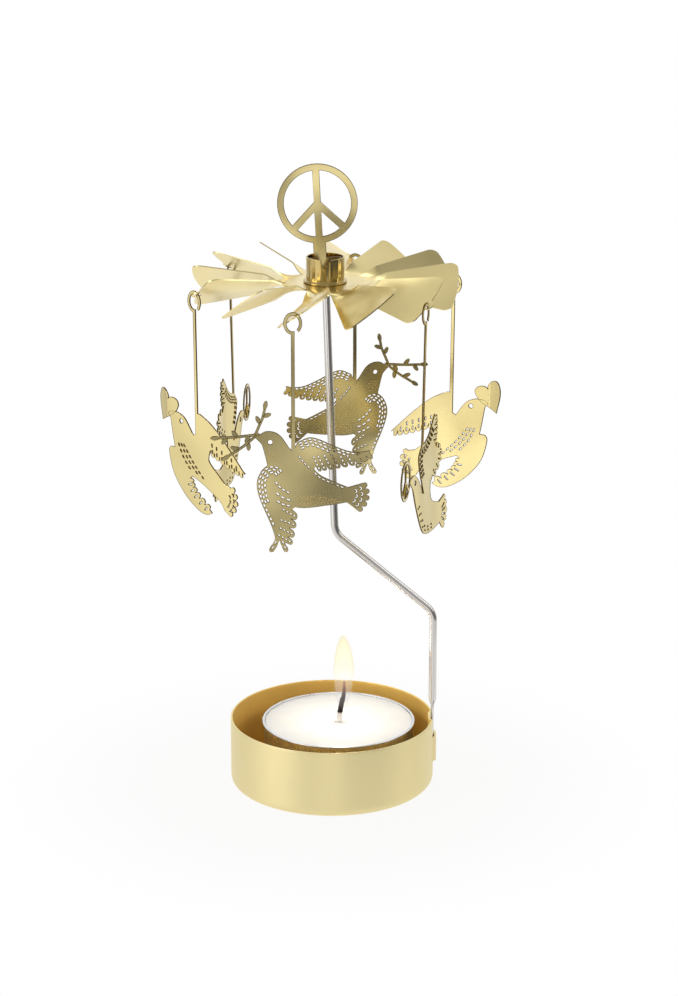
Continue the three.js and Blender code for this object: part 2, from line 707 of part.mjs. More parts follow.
// Dove with a small peace sign at its beak
function signDove() {
  const raised = featherRow([[6.9, 4.4], [7.4, 1.4], [6.6, -2]], 4, -0.2);
  const spread = featherRow([[7.6, -3.6], [10.2, -5], [9.4, -8], [5.4, -10.2]], 4, -0.2);
  const tail = tailRow(9.6, -21.6, 4.8, 54, -60);
  const outline = [
    ...ringAndStrip(stripLength, -1.6, -1, -0.6),
    ...flow([[0.2, -0.4], [2.6, 0.9], [4.9, 3.5], [6.4, 5.2]], 5),
    ...featherEnds(raised, 1.2),
    ...featherEnds(spread, 1.3),
    ...flow([[3.9, -11.8], [3.8, -14.3], [5.2, -16.8], [9.6, -18.4]], 5),
    ...featherEnds(tail, 1.1),
    ...flow([[10.4, -24], [5.6, -24.6], [0.8, -24.3], [-2.1, -22.2], [-5.6, -15.8], [-7.8, -10.4]], 8),
    ...flow([[-10, -7.8], [-8.6, -7.2], [-6.7, -7.1], [-4.3, -8.7], [-2.6, -11], [-1, -13.4]], 7),
    ...flow([[-1.9, -10.4], [-3.5, -6.4], [-4, -3.4], [-2.8, -1.6]], 4),
  ];
  const holes = [
    eye(-6.4, -9.1),
    ...stitches([[-2.6, -4.6], [-1.2, -1.8], [2.2, -0.4], [5, 2.2]], 4, 0.6),
    ...featherSlots(raised, 1.6, 0.4),
    ...featherSlots(spread.slice(1), 1.1, 0.5),
    ...stitches([[-4.6, -13.4], [-2.4, -18.4], [1, -22], [5.6, -22.9]], 4, 0.4),
    ...featherSlots(tail, 2, 0.2),
  ];
  const sign = toGeometry(peaceSign(signRadius, signBand, signBand, pendantSheet, 16));
  const [beak] = onGrid([[-9.6, -6.5]]);
  sign.translate(signBand / 2 - signRadius, 0, 0).rotateY(signTurn).translate(beak.x, beak.y, 0);
  return toSolid(birdSheet(outline, holes)).add(toSolid(sign));
}

// Each bird hangs twice, on opposite vanes, from the ear of its vane, and has come to rest at its own yaw
const flock = [
  ['branch_dove', branchDove, branchStripLength],
  ['sign_dove', signDove, stripLength],
  ['heart_dove', heartDove, stripLength],
];
const birdOrder = [0, 2, 1];
const birdYaws = [24, 44, 16, 12, 26, 22];
const ringDrop = ringHeight / 2 - ringBand - ringRise;
const ringSide = (ringWidth - ringBand) / 2 - ringInset;

function hangPendants() {
  const sheets = flock.map(([, draw, length]) => toGeometry(draw()).translate(0, -length, 0));
  for (let i = 0; i < vaneCount / 2; i += 1) {
    const arm = new THREE.Group();
    arm.rotation.z = firstVane - 2 * i * vaneStep;
    rotor.add(arm);
    const hook = new THREE.Group();
    hook.position.set(earReach, earChord * Math.cos(vanePitch), wheelHeight + earChord * Math.sin(vanePitch));
    hook.rotation.z = THREE.MathUtils.degToRad(birdYaws[i]) + Math.PI / 2;
    arm.add(hook);
    const kind = birdOrder[i % 3];
    const copy = i < 3 ? 'a' : 'b';
    const pendant = addPart(hook, `${flock[kind][0]}_${copy}`, sheets[kind], brass);
    pendant.rotation.x = Math.PI / 2;
    pendant.position.set(-ringSide, 0, -ringDrop);
  }
}

hangPendants();

// Tealight
const tealight = new THREE.Group();
tealight.position.set(tealightX, 0, cupSheet);
holder.add(tealight);

const shellInside = tealightRadius - foil;
const waxTop = tealightHeight - waxDrop;
const wickRadius = wickDiameter / 2;
const wickBore = wickRadius + wickGap;
const neckRadius = wickBore + sustainerSheet;

function makeShell() {
  return turned([
    [0, 0],
    [tealightRadius, 0],
    [tealightRadius, tealightHeight - foilBead],
    [tealightRadius + foilBead, tealightHeight - foilBead],
    [tealightRadius + foilBead, tealightHeight],
    [shellInside, tealightHeight],
    [shellInside, foil],
    [0, foil],
  ], cupSides);
}

function makeWax() {
  const side = shellInside - waxGap;
  const floor = foil + waxGap;
  const plateRoom = sustainerRadius + waxGap;
  const plateHeight = foil + sustainerSheet + waxGap;
  const neckRoom = neckRadius + waxGap;
  const neckTop = foil + sustainerNeck + waxGap;
  const profile = [
    [plateRoom, floor],
    [side, floor],
    [side, waxTop],
    [(side + sustainerRadius) / 2, waxTop - waxDish * 0.7],
    [wickBore, waxTop - waxDish],
    [wickBore, neckTop],
    [neckRoom, neckTop],
    [neckRoom, plateHeight],
    [plateRoom, plateHeight],
    [plateRoom, floor],
  ];
  return turned(profile, cupSides);
}

function makeWick() {
  const bottom = foil + waxGap;
  const top = waxTop - waxDish + wickHeight;
  const path = new THREE.CatmullRomCurve3([
    new THREE.Vector3(0, 0, bottom),
    new THREE.Vector3(0, 0, waxTop / 2),
    new THREE.Vector3(0, 0, waxTop),
    new THREE.Vector3(wickLean * 0.4, 0, (waxTop + top) / 2),
    new THREE.Vector3(wickLean, 0, top),
  ]);
  const settings = { steps: 8, extrudePath: path, bevelEnabled: false };
  return new THREE.ExtrudeGeometry(circleShape(wickRadius, 8), settings);
}

function makeSustainer() {
  return turned([
    [wickBore, foil],
    [sustainerRadius, foil],
    [sustainerRadius, foil + sustainerSheet],
    [neckRadius, foil + sustainerSheet],
    [neckRadius, foil + sustainerNeck],
    [wickBore, foil + sustainerNeck],
    [wickBore, foil],
  ], 20);
}

addPart(tealight, 'tealight_shell', weld(makeShell()), aluminium);
addPart(tealight, 'tealight_wax', weld(makeWax()), paraffin);
addPart(tealight, 'wick', weld(makeWick()), charredCotton);
addPart(tealight, 'wick_sustainer', weld(makeSustainer()), tin);

export default holder;
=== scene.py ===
# %% [markdown]
# # A tealight carousel in brass
# A drawn cup holds one tealight. A bent steel wire stands in a pocket of the cup and ends in a needle
# point, and a wheel of twisted vanes turns on that point. Six stamped doves hang from the wheel's vanes.
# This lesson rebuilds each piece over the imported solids, which give every place and size.

import math

import bmesh
import bpy
from mathutils import Matrix, Vector
from mathutils.geometry import interpolate_bezier


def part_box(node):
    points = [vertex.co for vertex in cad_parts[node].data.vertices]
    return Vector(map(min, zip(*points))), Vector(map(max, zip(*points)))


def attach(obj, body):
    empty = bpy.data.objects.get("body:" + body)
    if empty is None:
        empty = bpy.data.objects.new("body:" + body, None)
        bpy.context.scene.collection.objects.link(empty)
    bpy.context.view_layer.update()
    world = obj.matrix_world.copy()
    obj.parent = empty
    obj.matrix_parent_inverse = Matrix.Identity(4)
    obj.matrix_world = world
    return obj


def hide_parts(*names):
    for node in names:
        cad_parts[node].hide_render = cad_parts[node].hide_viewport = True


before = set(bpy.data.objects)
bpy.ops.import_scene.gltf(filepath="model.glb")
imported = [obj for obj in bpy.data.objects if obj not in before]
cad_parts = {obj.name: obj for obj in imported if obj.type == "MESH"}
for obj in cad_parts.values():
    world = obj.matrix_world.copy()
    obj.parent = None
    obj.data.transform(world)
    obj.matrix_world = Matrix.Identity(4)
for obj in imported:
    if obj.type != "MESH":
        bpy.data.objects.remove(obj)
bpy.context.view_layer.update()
scene = bpy.context.scene
scene.view_settings.view_transform = "Standard"
MM = 0.001

# %% [markdown]
# ## The camera
# The photograph was taken from a little above the wheel with a long lens. Its place was found by fitting
# the rims of the cup and the wheel, so the camera only repeats that place, tilt and focal length.

# %% Camera
PHOTO_HEIGHT = 996
FOCAL_PIXELS = 2918.4
CAMERA_BACK = 713
CAMERA_HEIGHT = 297.5
CAMERA_TILT = 17.161
CAMERA_TURN = -0.148
SENSOR = 36
CLIP_START = 10
camera = bpy.data.objects.new("camera", bpy.data.cameras.new("camera"))
scene.collection.objects.link(camera)
camera.location = (0, -CAMERA_BACK * MM, CAMERA_HEIGHT * MM)
camera.rotation_euler = (math.radians(90 - CAMERA_TILT), 0, math.radians(CAMERA_TURN))
camera.data.sensor_width = SENSOR
camera.data.lens = FOCAL_PIXELS * SENSOR / PHOTO_HEIGHT
camera.data.clip_start = CLIP_START * MM
scene.camera = camera
print("focal length in mm:", round(camera.data.lens, 1))

# %% [markdown]
# ## Helpers for materials
# Colours are read off in sRGB, as on a screen, but shaders count in linear light, so one function converts
# them. Another adds a node, gives it its settings and links its inputs. A node that is given as an input
# stands for its first output.

# %% Material helpers
BLACK = (0, 0, 0, 1)
WHITE = (1, 1, 1, 1)


def linear(hex_code):
    channels = [int(hex_code[i : i + 2], 16) / 255 for i in (1, 3, 5)]
    return [c / 12.92 if c <= 0.04045 else ((c + 0.055) / 1.055) ** 2.4 for c in channels] + [1.0]


def connect(tree, node, inputs):
    for name, value in inputs.items():
        source = value.outputs[0] if isinstance(value, bpy.types.Node) else value
        if isinstance(source, bpy.types.NodeSocket):
            tree.links.new(source, node.inputs[name])
        else:
            node.inputs[name].default_value = source


def add(tree, kind, inputs=None, **settings):
    node = tree.nodes.new(kind)
    for name, value in settings.items():
        setattr(node, name, value)
    connect(tree, node, inputs or {})
    return node


def new_material(name):
    material = bpy.data.materials.new(name)
    material.use_nodes = True
    tree = material.node_tree
    place = add(tree, "ShaderNodeTexCoord").outputs["Object"]
    return material, tree, tree.nodes["Principled BSDF"], place


# %% [markdown]
# ## Brass
# Cup, wheel, finial and doves are cut from thin brass strip. Rolling leaves fine parallel lines that blur a
# reflection a little more along one direction, and a clear lacquer keeps it pale and bright. The lines are
# really about 0.05 mm apart; they are drawn at 0.2 to 0.3 mm so that they show. A slow cloud in the
# roughness stands for the uneven polish that sheet has over a few millimetres. Thin sheet is also never
# quite flat, so a slow sag bends what it mirrors; on the hub it becomes the upright marks of drawing.

# %% Brass
ROLLED = (1, 1, 0.04)
LINE_DEPTH = 0.02
SAG_DEPTH = 0.16
SMOOTHEST = 0.8
ROUGHEST = 1.25
LINE_ROUGHNESS = 0.25
DULLED = 0.95


def brass(name, colour, roughness, grain_mm, cloud_mm, sag_mm=0, sag_stretch=(1, 1, 1)):
    material, tree, shader, place = new_material(name)
    drawn = add(tree, "ShaderNodeMapping", {"Vector": place, "Scale": ROLLED})
    lines = {"Vector": drawn, "Scale": 1 / (grain_mm * MM), "Detail": 3.0}
    grain = add(tree, "ShaderNodeTexNoise", lines)
    patches = {"Vector": place, "Scale": 1 / (cloud_mm * MM), "Detail": 2.0}
    cloud = add(tree, "ShaderNodeTexNoise", patches)
    shine = {"Value": cloud, "To Min": roughness * SMOOTHEST, "To Max": roughness * ROUGHEST}
    polish = add(tree, "ShaderNodeMapRange", shine)
    streaks = {0: grain, 1: roughness * LINE_ROUGHNESS, 2: polish}
    tint = add(tree, "ShaderNodeValToRGB", {"Fac": cloud})
    duller, brighter = tint.color_ramp.elements
    duller.position, brighter.position = 0.3, 0.7
    duller.color = [c * DULLED for c in linear(colour)[:3]] + [1]
    brighter.color = linear(colour)
    relief = {"Height": grain, "Strength": 0.015, "Distance": LINE_DEPTH * MM}
    normal = add(tree, "ShaderNodeBump", relief)
    if sag_mm:
        pulled = add(tree, "ShaderNodeMapping", {"Vector": place, "Scale": sag_stretch})
        wave = {"Vector": pulled, "Scale": 1 / (sag_mm * MM), "Detail": 0.0}
        sag = add(tree, "ShaderNodeTexNoise", wave)
        dent = {"Height": sag, "Normal": normal, "Distance": sag_mm * SAG_DEPTH * MM}
        normal = add(tree, "ShaderNodeBump", dent)
    finish = {
        "Base Color": tint,
        "Roughness": add(tree, "ShaderNodeMath", streaks, operation="MULTIPLY_ADD"),
        "Normal": normal,
        "Metallic": 1.0,
    }
    connect(tree, shader, finish)
    return material


# Lacquered strip is pale, and its reflections are soft and bend where the sheet sags
lacquered_brass = brass("lacquered_brass", "#EEDC9E", 0.2, 0.3, 9, 22)
# A buffed tube is almost a mirror, so it shows light and dark as upright streaks; the darker room it
# mirrors darkens it, and its colour, darker than the other brass, is painted shade
buffed_brass_painted_shade = brass("buffed_brass_painted_shade", "#BDA76E", 0.05, 0.2, 6, 1.2, (1, 1, 0.05))
# The cup's inside was left as drawn and is dull, so it glows evenly by the candle; its warm, bright amber
# is painted candle glow and bounced light
inner_brass_painted_glow = brass("inner_brass_painted_glow", "#F8D880", 0.65, 0.3, 10)
# A sheared edge is rough; its dark colour is painted shade, which draws a fine dark line round every slot
sheared_brass_painted_shade = brass("sheared_brass_painted_shade", "#6B5628", 0.4, 0.2, 5)
# Etched marks are matt, so they stay pale where the sheet round them mirrors something dark
etched_brass = brass("etched_brass", "#E3C987", 0.5, 0.2, 4)
# The cup was spun against a fine pad, so its scratches run round it and smear reflections up and down
spun_brass = brass("spun_brass", "#F3E4AE", 0.42, 0.3, 12)
spun_tree = spun_brass.node_tree
round_the_cup = add(spun_tree, "ShaderNodeTangent", direction_type="RADIAL", axis="Z")
scratches = {"Tangent": round_the_cup, "Anisotropic": 0.7, "Anisotropic Rotation": 0.25}
connect(spun_tree, spun_tree.nodes["Principled BSDF"], scratches)
print("brass finishes:", [m.name for m in bpy.data.materials if "brass" in m.name])

# %% [markdown]
# ## Steel, aluminium, tin, wax and wick
# The post is bright drawn steel wire with die marks along its length. The tealight's shell is pressed
# aluminium foil, its wick holder is tin plate, and its wax is white paraffin, which lets light in a little
# way. Its wick is a cotton braid: white with wax at the foot, charred black above, and glowing at the tip.

# %% Other metals
BRIGHT_STREAK = 0.7
DULL_STREAK = 1.4


def streaked_metal(name, colour, roughness, streak_mm, stretch):
    material, tree, shader, place = new_material(name)
    drawn = add(tree, "ShaderNodeMapping", {"Vector": place, "Scale": stretch})
    marks = {"Vector": drawn, "Scale": 1 / (streak_mm * MM), "Detail": 3.0}
    streak = add(tree, "ShaderNodeTexNoise", marks)
    shine = {"Value": streak, "To Min": roughness * BRIGHT_STREAK, "To Max": roughness * DULL_STREAK}
    relief = {"Height": streak, "Strength": 0.01, "Distance": LINE_DEPTH * MM}
    finish = {
        "Base Color": linear(colour),
        "Roughness": add(tree, "ShaderNodeMapRange", shine),
        "Normal": add(tree, "ShaderNodeBump", relief),
        "Metallic": 1.0,
    }
    connect(tree, shader, finish)
    return material


# Drawn wire shows light and dark lines along it; real die marks, finer than a pixel here, are drawn coarser
drawn_steel = streaked_metal("drawn_steel", "#D6D2CE", 0.2, 3, (1, 1, 0.3))
# Pressed foil is silvery with a soft sheen, and its creases run upright
pressed_foil = streaked_metal("pressed_foil", "#DADCDE", 0.28, 0.6, (1, 1, 0.2))
# Tin plate is a duller grey without a direction
tin_plate = streaked_metal("tin_plate", "#B9BABB", 0.4, 0.5, (1, 1, 1))
print("other metals:", [m.name for m in (drawn_steel, pressed_foil, tin_plate)])

# %% Wax and wick
WAX_BLOOM = 4
WAXED_FOOT = 2.8
WAX_FADE = 0.9
BRAID = 3
GLOW_BELOW_TOP = 0.5
GLOW_FADE = 4


# Light enters paraffin and comes out beside the place where it went in, so the wax looks soft and milky
def paraffin_wax():
    material, tree, shader, place = new_material("paraffin_wax")
    clouds = {"Vector": place, "Scale": 1 / (WAX_BLOOM * MM), "Detail": 4.0}
    bloom = add(tree, "ShaderNodeTexNoise", clouds)
    tone = add(tree, "ShaderNodeValToRGB", {"Fac": bloom})
    tone.color_ramp.elements[0].color = linear("#F3F1EC")
    tone.color_ramp.elements[1].color = linear("#FBFAF7")
    skin = {"Height": bloom, "Strength": 0.1, "Distance": 0.1 * MM}
    finish = {
        "Base Color": tone,
        "Roughness": add(tree, "ShaderNodeMapRange", {"Value": bloom, "To Min": 0.32, "To Max": 0.5}),
        "Normal": add(tree, "ShaderNodeBump", skin),
        "IOR": 1.44,
        "Subsurface Weight": 0.4,
        "Subsurface Radius": (3 * MM, 2.6 * MM, 2 * MM),
        "Subsurface Scale": 1.0,
    }
    connect(tree, shader, finish)
    return material


# Charred cotton swallows light, so only its glowing tip and its waxed foot stand out. The braid's strands,
# really about 0.5 mm wide, are drawn coarser so that they show
def charred_cotton(waxed_to, glow_from):
    material, tree, shader, place = new_material("charred_cotton")
    weave = {"Vector": place, "Scale": 1 / (BRAID * MM), "Distortion": 2.0, "Detail": 1.0}
    braid = add(tree, "ShaderNodeTexWave", weave, bands_direction="DIAGONAL").outputs["Fac"]
    height = add(tree, "ShaderNodeSeparateXYZ", {"Vector": place}).outputs["Z"]
    hot = {"Value": height, "From Min": glow_from, "From Max": glow_from + GLOW_FADE * MM}
    ember = add(tree, "ShaderNodeMapRange", hot, interpolation_type="SMOOTHSTEP")
    glow = add(tree, "ShaderNodeValToRGB", {"Fac": ember})
    glow.color_ramp.elements[0].color = BLACK
    glow.color_ramp.elements[1].color = linear("#8E3F14")
    soot = add(tree, "ShaderNodeValToRGB", {"Fac": braid})
    soot.color_ramp.elements[0].color = linear("#0B0706")
    soot.color_ramp.elements[1].color = linear("#2C1A10")
    waxed = {"Value": height, "From Min": waxed_to - WAX_FADE * MM, "From Max": waxed_to}
    burnt = add(tree, "ShaderNodeMapRange", waxed, interpolation_type="SMOOTHSTEP")
    coat = {0: burnt, 6: linear("#F6F1EA"), 7: soot}
    twist = {"Height": braid, "Strength": 0.6, "Distance": 0.15 * MM}
    finish = {
        "Base Color": add(tree, "ShaderNodeMix", coat, data_type="RGBA").outputs[2],
        "Emission Color": glow,
        "Emission Strength": 0.9,
        "Normal": add(tree, "ShaderNodeBump", twist),
        "Roughness": 0.95,
    }
    connect(tree, shader, finish)
    return material


wick_low, wick_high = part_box("wick")
wax_low, wax_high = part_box("tealight_wax")
white_wax = paraffin_wax()
black_wick = charred_cotton(wax_high.z + WAXED_FOOT * MM, wick_high.z - GLOW_BELOW_TOP * MM)
print("wick in mm, from its foot to its top:", [round(end.z / MM, 1) for end in (wick_low, wick_high)])
print("wax in mm, from its foot to its top:", [round(end.z / MM, 1) for end in (wax_low, wax_high)])

# %% [markdown]
# ## From a bmesh to a finished piece
# Every piece is modelled in millimetres with bmesh operators. One function scales it to metres, smooths its
# faces up to a sharp angle, lets it ride on its CAD body and hides the solid it stands for. It also prints
# the box, in millimetres, of each piece that stands for a solid.


# %% Piece helper
def link_mesh(name, bm):
    mesh = bpy.data.meshes.new(name)
    bm.to_mesh(mesh)
    bm.free()
    thing = bpy.data.objects.new(name, mesh)
    scene.collection.objects.link(thing)
    return thing


def box_in_mm(low, high):
    return [round(c / MM, 2) for c in (*low, *high)]


def make_piece(name, bm, materials, body, slot, *nodes, sharp):
    bmesh.ops.scale(bm, vec=(MM, MM, MM), verts=bm.verts)
    piece = link_mesh(name, bm)
    piece.data.shade_smooth()
    piece.data.set_sharp_from_angle(angle=math.radians(sharp))
    for material in materials:
        piece.data.materials.append(material)
    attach(piece, body)
    if nodes:
        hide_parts(*nodes)
    print(name, "faces:", len(piece.data.polygons))
    for node in nodes:
        print("in mm:", box_in_mm(piece.bound_box[0], piece.bound_box[6]))
    return piece


# %% Shape helpers
def smooth_step(value, start, end):
    share = min(max((value - start) / (end - start), 0), 1)
    return share * share * (3 - 2 * share)


def rows(start, end, steps, first=0):
    return [start + (end - start) * i / steps for i in range(first, steps + 1)]


def arc(x, y, radius, start, end, steps):
    angles = [math.radians(angle) for angle in rows(start, end, steps)]
    return [(x + radius * math.cos(a), y + radius * math.sin(a)) for a in angles]


def move(bm, offset):
    bmesh.ops.translate(bm, vec=offset, verts=bm.verts)


def spin_round(bm, line, sides):
    edges = [bm.edges.new(pair) for pair in zip(line, line[1:])]
    axis, centre, full = (0, 0, 1), (0, 0, 0), 2 * math.pi
    geom = line + edges
    bmesh.ops.spin(bm, geom=geom, axis=axis, cent=centre, angle=full, steps=sides, use_merge=True)


def turn(profile, sides):
    bm = bmesh.new()
    spin_round(bm, [bm.verts.new((radius, 0, height)) for radius, height in profile], sides)
    bmesh.ops.remove_doubles(bm, verts=bm.verts, dist=1e-4)
    bmesh.ops.recalc_face_normals(bm, faces=bm.faces)
    return bm


# %% [markdown]
# ## The cup
# The cup is drawn from 0.5 mm sheet. On its right side the press cut two short slits and pushed a strap out
# and the tab above it in, which leaves a pocket for the post's flat tongue. One line is turned into the
# outer skin, the pocket's rows are pushed, the slits are deleted, and only then does the skin get its
# thickness.

# %% Cup
CUP_RADIUS = 26.5
CUP_HEIGHT = 17.8
CUP_SHEET = 0.5
CUP_CORNER = 2.2
CUP_EDGE = 0.12
STRAP_BOTTOM = 6.1
STRAP_TOP = 12.7
SLIT = 0.3
POCKET_HALF = 1.85
POCKET_END = 3.45
POCKET_PUSH = 0.8


def cup_rows():
    lower = rows(CUP_CORNER, STRAP_BOTTOM - SLIT, 4, first=1)
    return lower + rows(STRAP_BOTTOM, STRAP_TOP, 6) + rows(STRAP_TOP + SLIT, CUP_HEIGHT, 5)


def push_pocket(bm):
    for vert in bm.verts:
        x, y, z = vert.co
        if x < 0 or abs(y) > POCKET_END or z < STRAP_BOTTOM - SLIT / 2:
            continue
        outward = POCKET_PUSH if z < STRAP_TOP + SLIT / 2 else -POCKET_PUSH
        vert.co.x = x + outward * (1 - smooth_step(abs(y), POCKET_HALF, POCKET_END))
    slits = []
    for face in bm.faces:
        x, y, z = face.calc_center_median()
        below, above = z - STRAP_BOTTOM + SLIT / 2, z - STRAP_TOP - SLIT / 2
        in_slit = min(abs(below), abs(above)) < SLIT / 2
        if x > 0 and abs(y) < POCKET_END - SLIT and in_slit:
            slits.append(face)
    bmesh.ops.delete(bm, geom=slits, context="FACES")


def make_cup():
    corner = arc(CUP_RADIUS - CUP_CORNER, CUP_CORNER, CUP_CORNER, -90, 0, 8)
    bm = turn([(0, 0), (8, 0), (16, 0)] + corner + [(CUP_RADIUS, row) for row in cup_rows()], 360)
    push_pocket(bm)
    bmesh.ops.solidify(bm, geom=bm.faces, thickness=CUP_SHEET)
    rim = [e for e in bm.edges if all(abs(v.co.z - CUP_HEIGHT) < 0.01 for v in e.verts)]
    rim = [e for e in rim if e.is_manifold and e.calc_face_angle() > 1]
    bmesh.ops.bevel(
        bm,
        geom=rim,
        offset=CUP_EDGE,
        offset_type="OFFSET",
        affect="EDGES",
        segments=3,
        profile=0.5,
        material=-1,
    )
    bm.normal_update()
    # Inner wall and cup floor get the inner brass, whose amber is painted candle glow and bounced light
    for face in bm.faces:
        x, y, z = face.calc_center_median()
        facing_in = face.normal.x * x + face.normal.y * y < -0.5 * CUP_RADIUS
        on_floor = face.normal.z > 0.5 and z < CUP_CORNER
        face.material_index = 1 if facing_in or on_floor else 0
    make_piece("cup", bm, [spun_brass, inner_brass_painted_glow], "base", "satin_brass", "base_cup", sharp=50)


make_cup()

# %% [markdown]
# ## The post
# The post is made as a wire bender makes it: a ring of edges is pulled straight up, swung round each bend
# with spin, and pulled on. At the foot the ring is pressed flat into the tongue, and at the top it is drawn
# in to the needle's point.

# %% Wire helpers
WIRE_RADIUS = 1.0
BEND_RADIUS = 5.2


def only(geometry, kind):
    return [g for g in geometry if isinstance(g, kind)]


def pull(bm, ring, offset, size=(1, 1, 1), about=None):
    made = bmesh.ops.extrude_edge_only(bm, edges=ring)["geom"]
    verts = only(made, bmesh.types.BMVert)
    bmesh.ops.translate(bm, vec=offset, verts=verts)
    if about is not None:
        bmesh.ops.scale(bm, vec=size, space=Matrix.Translation(-about), verts=verts)
    return [e for e in bm.edges if e.verts[0] in verts and e.verts[1] in verts]


def swing(bm, ring, centre, angle):
    bend = {"cent": centre, "axis": (0, 1, 0), "angle": angle, "steps": 14, "use_duplicate": False}
    verts = list({v for e in ring for v in e.verts})
    made = bmesh.ops.spin(bm, geom=verts + ring, **bend)["geom_last"]
    return only(made, bmesh.types.BMEdge)


# %% Post
POST_X = CUP_RADIUS - CUP_SHEET / 2
TONGUE_BOTTOM = 6.6
TONGUE_SHOULDER = 21.7
LOWER_BEND = Vector((POST_X, 0, 46.5))
UPPER_BEND = Vector((0.8, 0, 68))
NEEDLE_TOP = Vector((-1.6, 0, 136.95))
NEEDLE_LENGTH = 5
TAPER_SHARE = 0.9
TAPERED = (0.22, 0.22, 1)
POINTED = (0.3, 0.3, 1)
PRESS_STEP = 0.8
PRESSED = ((0.75, 1.15), (0.55, 1.35), (0.95, 1.08))
TONGUE_TIP = (0.8, 0.55, 1)


def bend_wire(bm, ring, foot):
    slant = (UPPER_BEND - LOWER_BEND).normalized()
    rise = (NEEDLE_TOP - UPPER_BEND).normalized()
    lower_angle = -math.atan2(-slant.x, slant.z)
    upper_angle = math.atan2(rise.x, rise.z) - lower_angle
    lower_reach = BEND_RADIUS * math.tan(abs(lower_angle) / 2)
    upper_reach = BEND_RADIUS * math.tan(abs(upper_angle) / 2)
    start = LOWER_BEND - Vector((0, 0, lower_reach))
    ring = pull(bm, ring, start - foot)
    ring = swing(bm, ring, start - Vector((BEND_RADIUS, 0, 0)), lower_angle)
    end = LOWER_BEND + slant * lower_reach
    turn_start = UPPER_BEND - slant * upper_reach
    ring = pull(bm, ring, turn_start - end)
    ring = swing(bm, ring, turn_start + BEND_RADIUS * Vector((slant.z, 0, -slant.x)), upper_angle)
    wire_end = NEEDLE_TOP - rise * NEEDLE_LENGTH
    taper = rise * NEEDLE_LENGTH * TAPER_SHARE
    tip = rise * NEEDLE_LENGTH * (1 - TAPER_SHARE)
    ring = pull(bm, ring, wire_end - UPPER_BEND - rise * upper_reach)
    ring = pull(bm, ring, taper, TAPERED, wire_end + taper)
    ring = pull(bm, ring, tip, POINTED, NEEDLE_TOP)
    bmesh.ops.edgeloop_fill(bm, edges=ring)


def press_tongue(bm, ring, foot):
    down = Vector((0, 0, -PRESS_STEP))
    level = foot
    for thinner, wider in PRESSED:
        level = level + down
        ring = pull(bm, ring, down, (thinner, wider, 1), level)
    ring = pull(bm, ring, Vector((0, 0, TONGUE_BOTTOM + PRESS_STEP - level.z)))
    ring = pull(bm, ring, down, TONGUE_TIP, Vector((POST_X, 0, TONGUE_BOTTOM)))
    bmesh.ops.edgeloop_fill(bm, edges=ring)


def make_post():
    bm = bmesh.new()
    foot = Vector((POST_X, 0, TONGUE_SHOULDER + PRESS_STEP))
    bmesh.ops.create_circle(bm, segments=24, radius=WIRE_RADIUS, matrix=Matrix.Translation(foot))
    ring = list(bm.edges)
    bend_wire(bm, ring, foot)
    press_tongue(bm, ring, foot)
    bmesh.ops.recalc_face_normals(bm, faces=bm.faces)
    make_piece("wire_post", bm, [drawn_steel], "base", "steel_wire", "post", sharp=40)


make_post()

# %% [markdown]
# ## The vane wheel
# The wheel is one disc of 0.3 mm sheet, slit from its edge into twelve vanes, and each vane is twisted at
# its root. A radial line is spun into a flat disc with a column for every degree, the columns of the slits
# are deleted, and each vane's corners are then turned about the vane's own axis, more and more over the
# first millimetres. Every other vane has a pierced ear, added and cut with booleans.

# %% Vane wheel
WHEEL_X = -1.6
WHEEL_HEIGHT = 133.8
WHEEL_SHEET = 0.3
VANES = 12
VANE_STEP = 360 / VANES
FIRST_VANE = 80.5
HALF_VANE = 14.5
HALF_SLIT = 0.4
HUB_HOLE = 4.9
PLATE_RADIUS = 9.5
TWIST_END = 16
VANE_RADIUS = 33.4
VANE_CORNER = 2.2
PITCH = math.radians(34.5)


def wheel_radii():
    corner_start = VANE_RADIUS - VANE_CORNER
    corner = [corner_start + VANE_CORNER * math.sin(math.radians(angle)) for angle in rows(0, 90, 10, 1)]
    twist = rows(PLATE_RADIUS, TWIST_END, 16, first=1)
    return rows(HUB_HOLE, PLATE_RADIUS, 4) + twist + rows(TWIST_END, corner_start, 6, first=1) + corner


def twist_vane(vert):
    reach = math.hypot(vert.co.x, vert.co.y)
    if reach < PLATE_RADIUS + 0.01:
        return
    angle = math.degrees(math.atan2(vert.co.y, vert.co.x)) - FIRST_VANE
    vane = round(angle / VANE_STEP)
    share = (angle - vane * VANE_STEP) / HALF_VANE
    past = max(0, reach - VANE_RADIUS + VANE_CORNER)
    rounding = VANE_CORNER - math.sqrt(max(0, VANE_CORNER**2 - past**2))
    chord = share * (reach * math.sin(math.radians(HALF_VANE)) - rounding)
    turned = PITCH * smooth_step(reach, PLATE_RADIUS, TWIST_END)
    flat = Vector((math.sqrt(reach**2 - chord**2), chord * math.cos(turned), chord * math.sin(turned)))
    flat.rotate(Matrix.Rotation(math.radians(FIRST_VANE + vane * VANE_STEP), 3, "Z"))
    vert.co = flat


def wheel_blank():
    bm = bmesh.new()
    line = [bm.verts.new((radius, 0, 0)) for radius in wheel_radii()]
    start = Matrix.Rotation(math.radians(FIRST_VANE + HALF_VANE), 3, "Z")
    bmesh.ops.rotate(bm, matrix=start, verts=line)
    spin_round(bm, line, 360)
    slits = []
    for face in bm.faces:
        centre = face.calc_center_median()
        angle = (math.degrees(math.atan2(centre.y, centre.x)) - FIRST_VANE) % VANE_STEP
        if centre.length > PLATE_RADIUS and abs(angle - VANE_STEP / 2) < HALF_SLIT:
            slits.append(face)
    bmesh.ops.delete(bm, geom=slits, context="FACES")
    for vert in bm.verts:
        twist_vane(vert)
    bmesh.ops.recalc_face_normals(bm, faces=bm.faces)
    bmesh.ops.solidify(bm, geom=bm.faces, thickness=WHEEL_SHEET)
    move(bm, (0, 0, WHEEL_SHEET / 2))
    return bm


# %% Ears
EAR_RADIUS = 1.5
EAR_HOLE = 0.95
EAR_REACH = 33.2
EAR_CHORD = -1.3
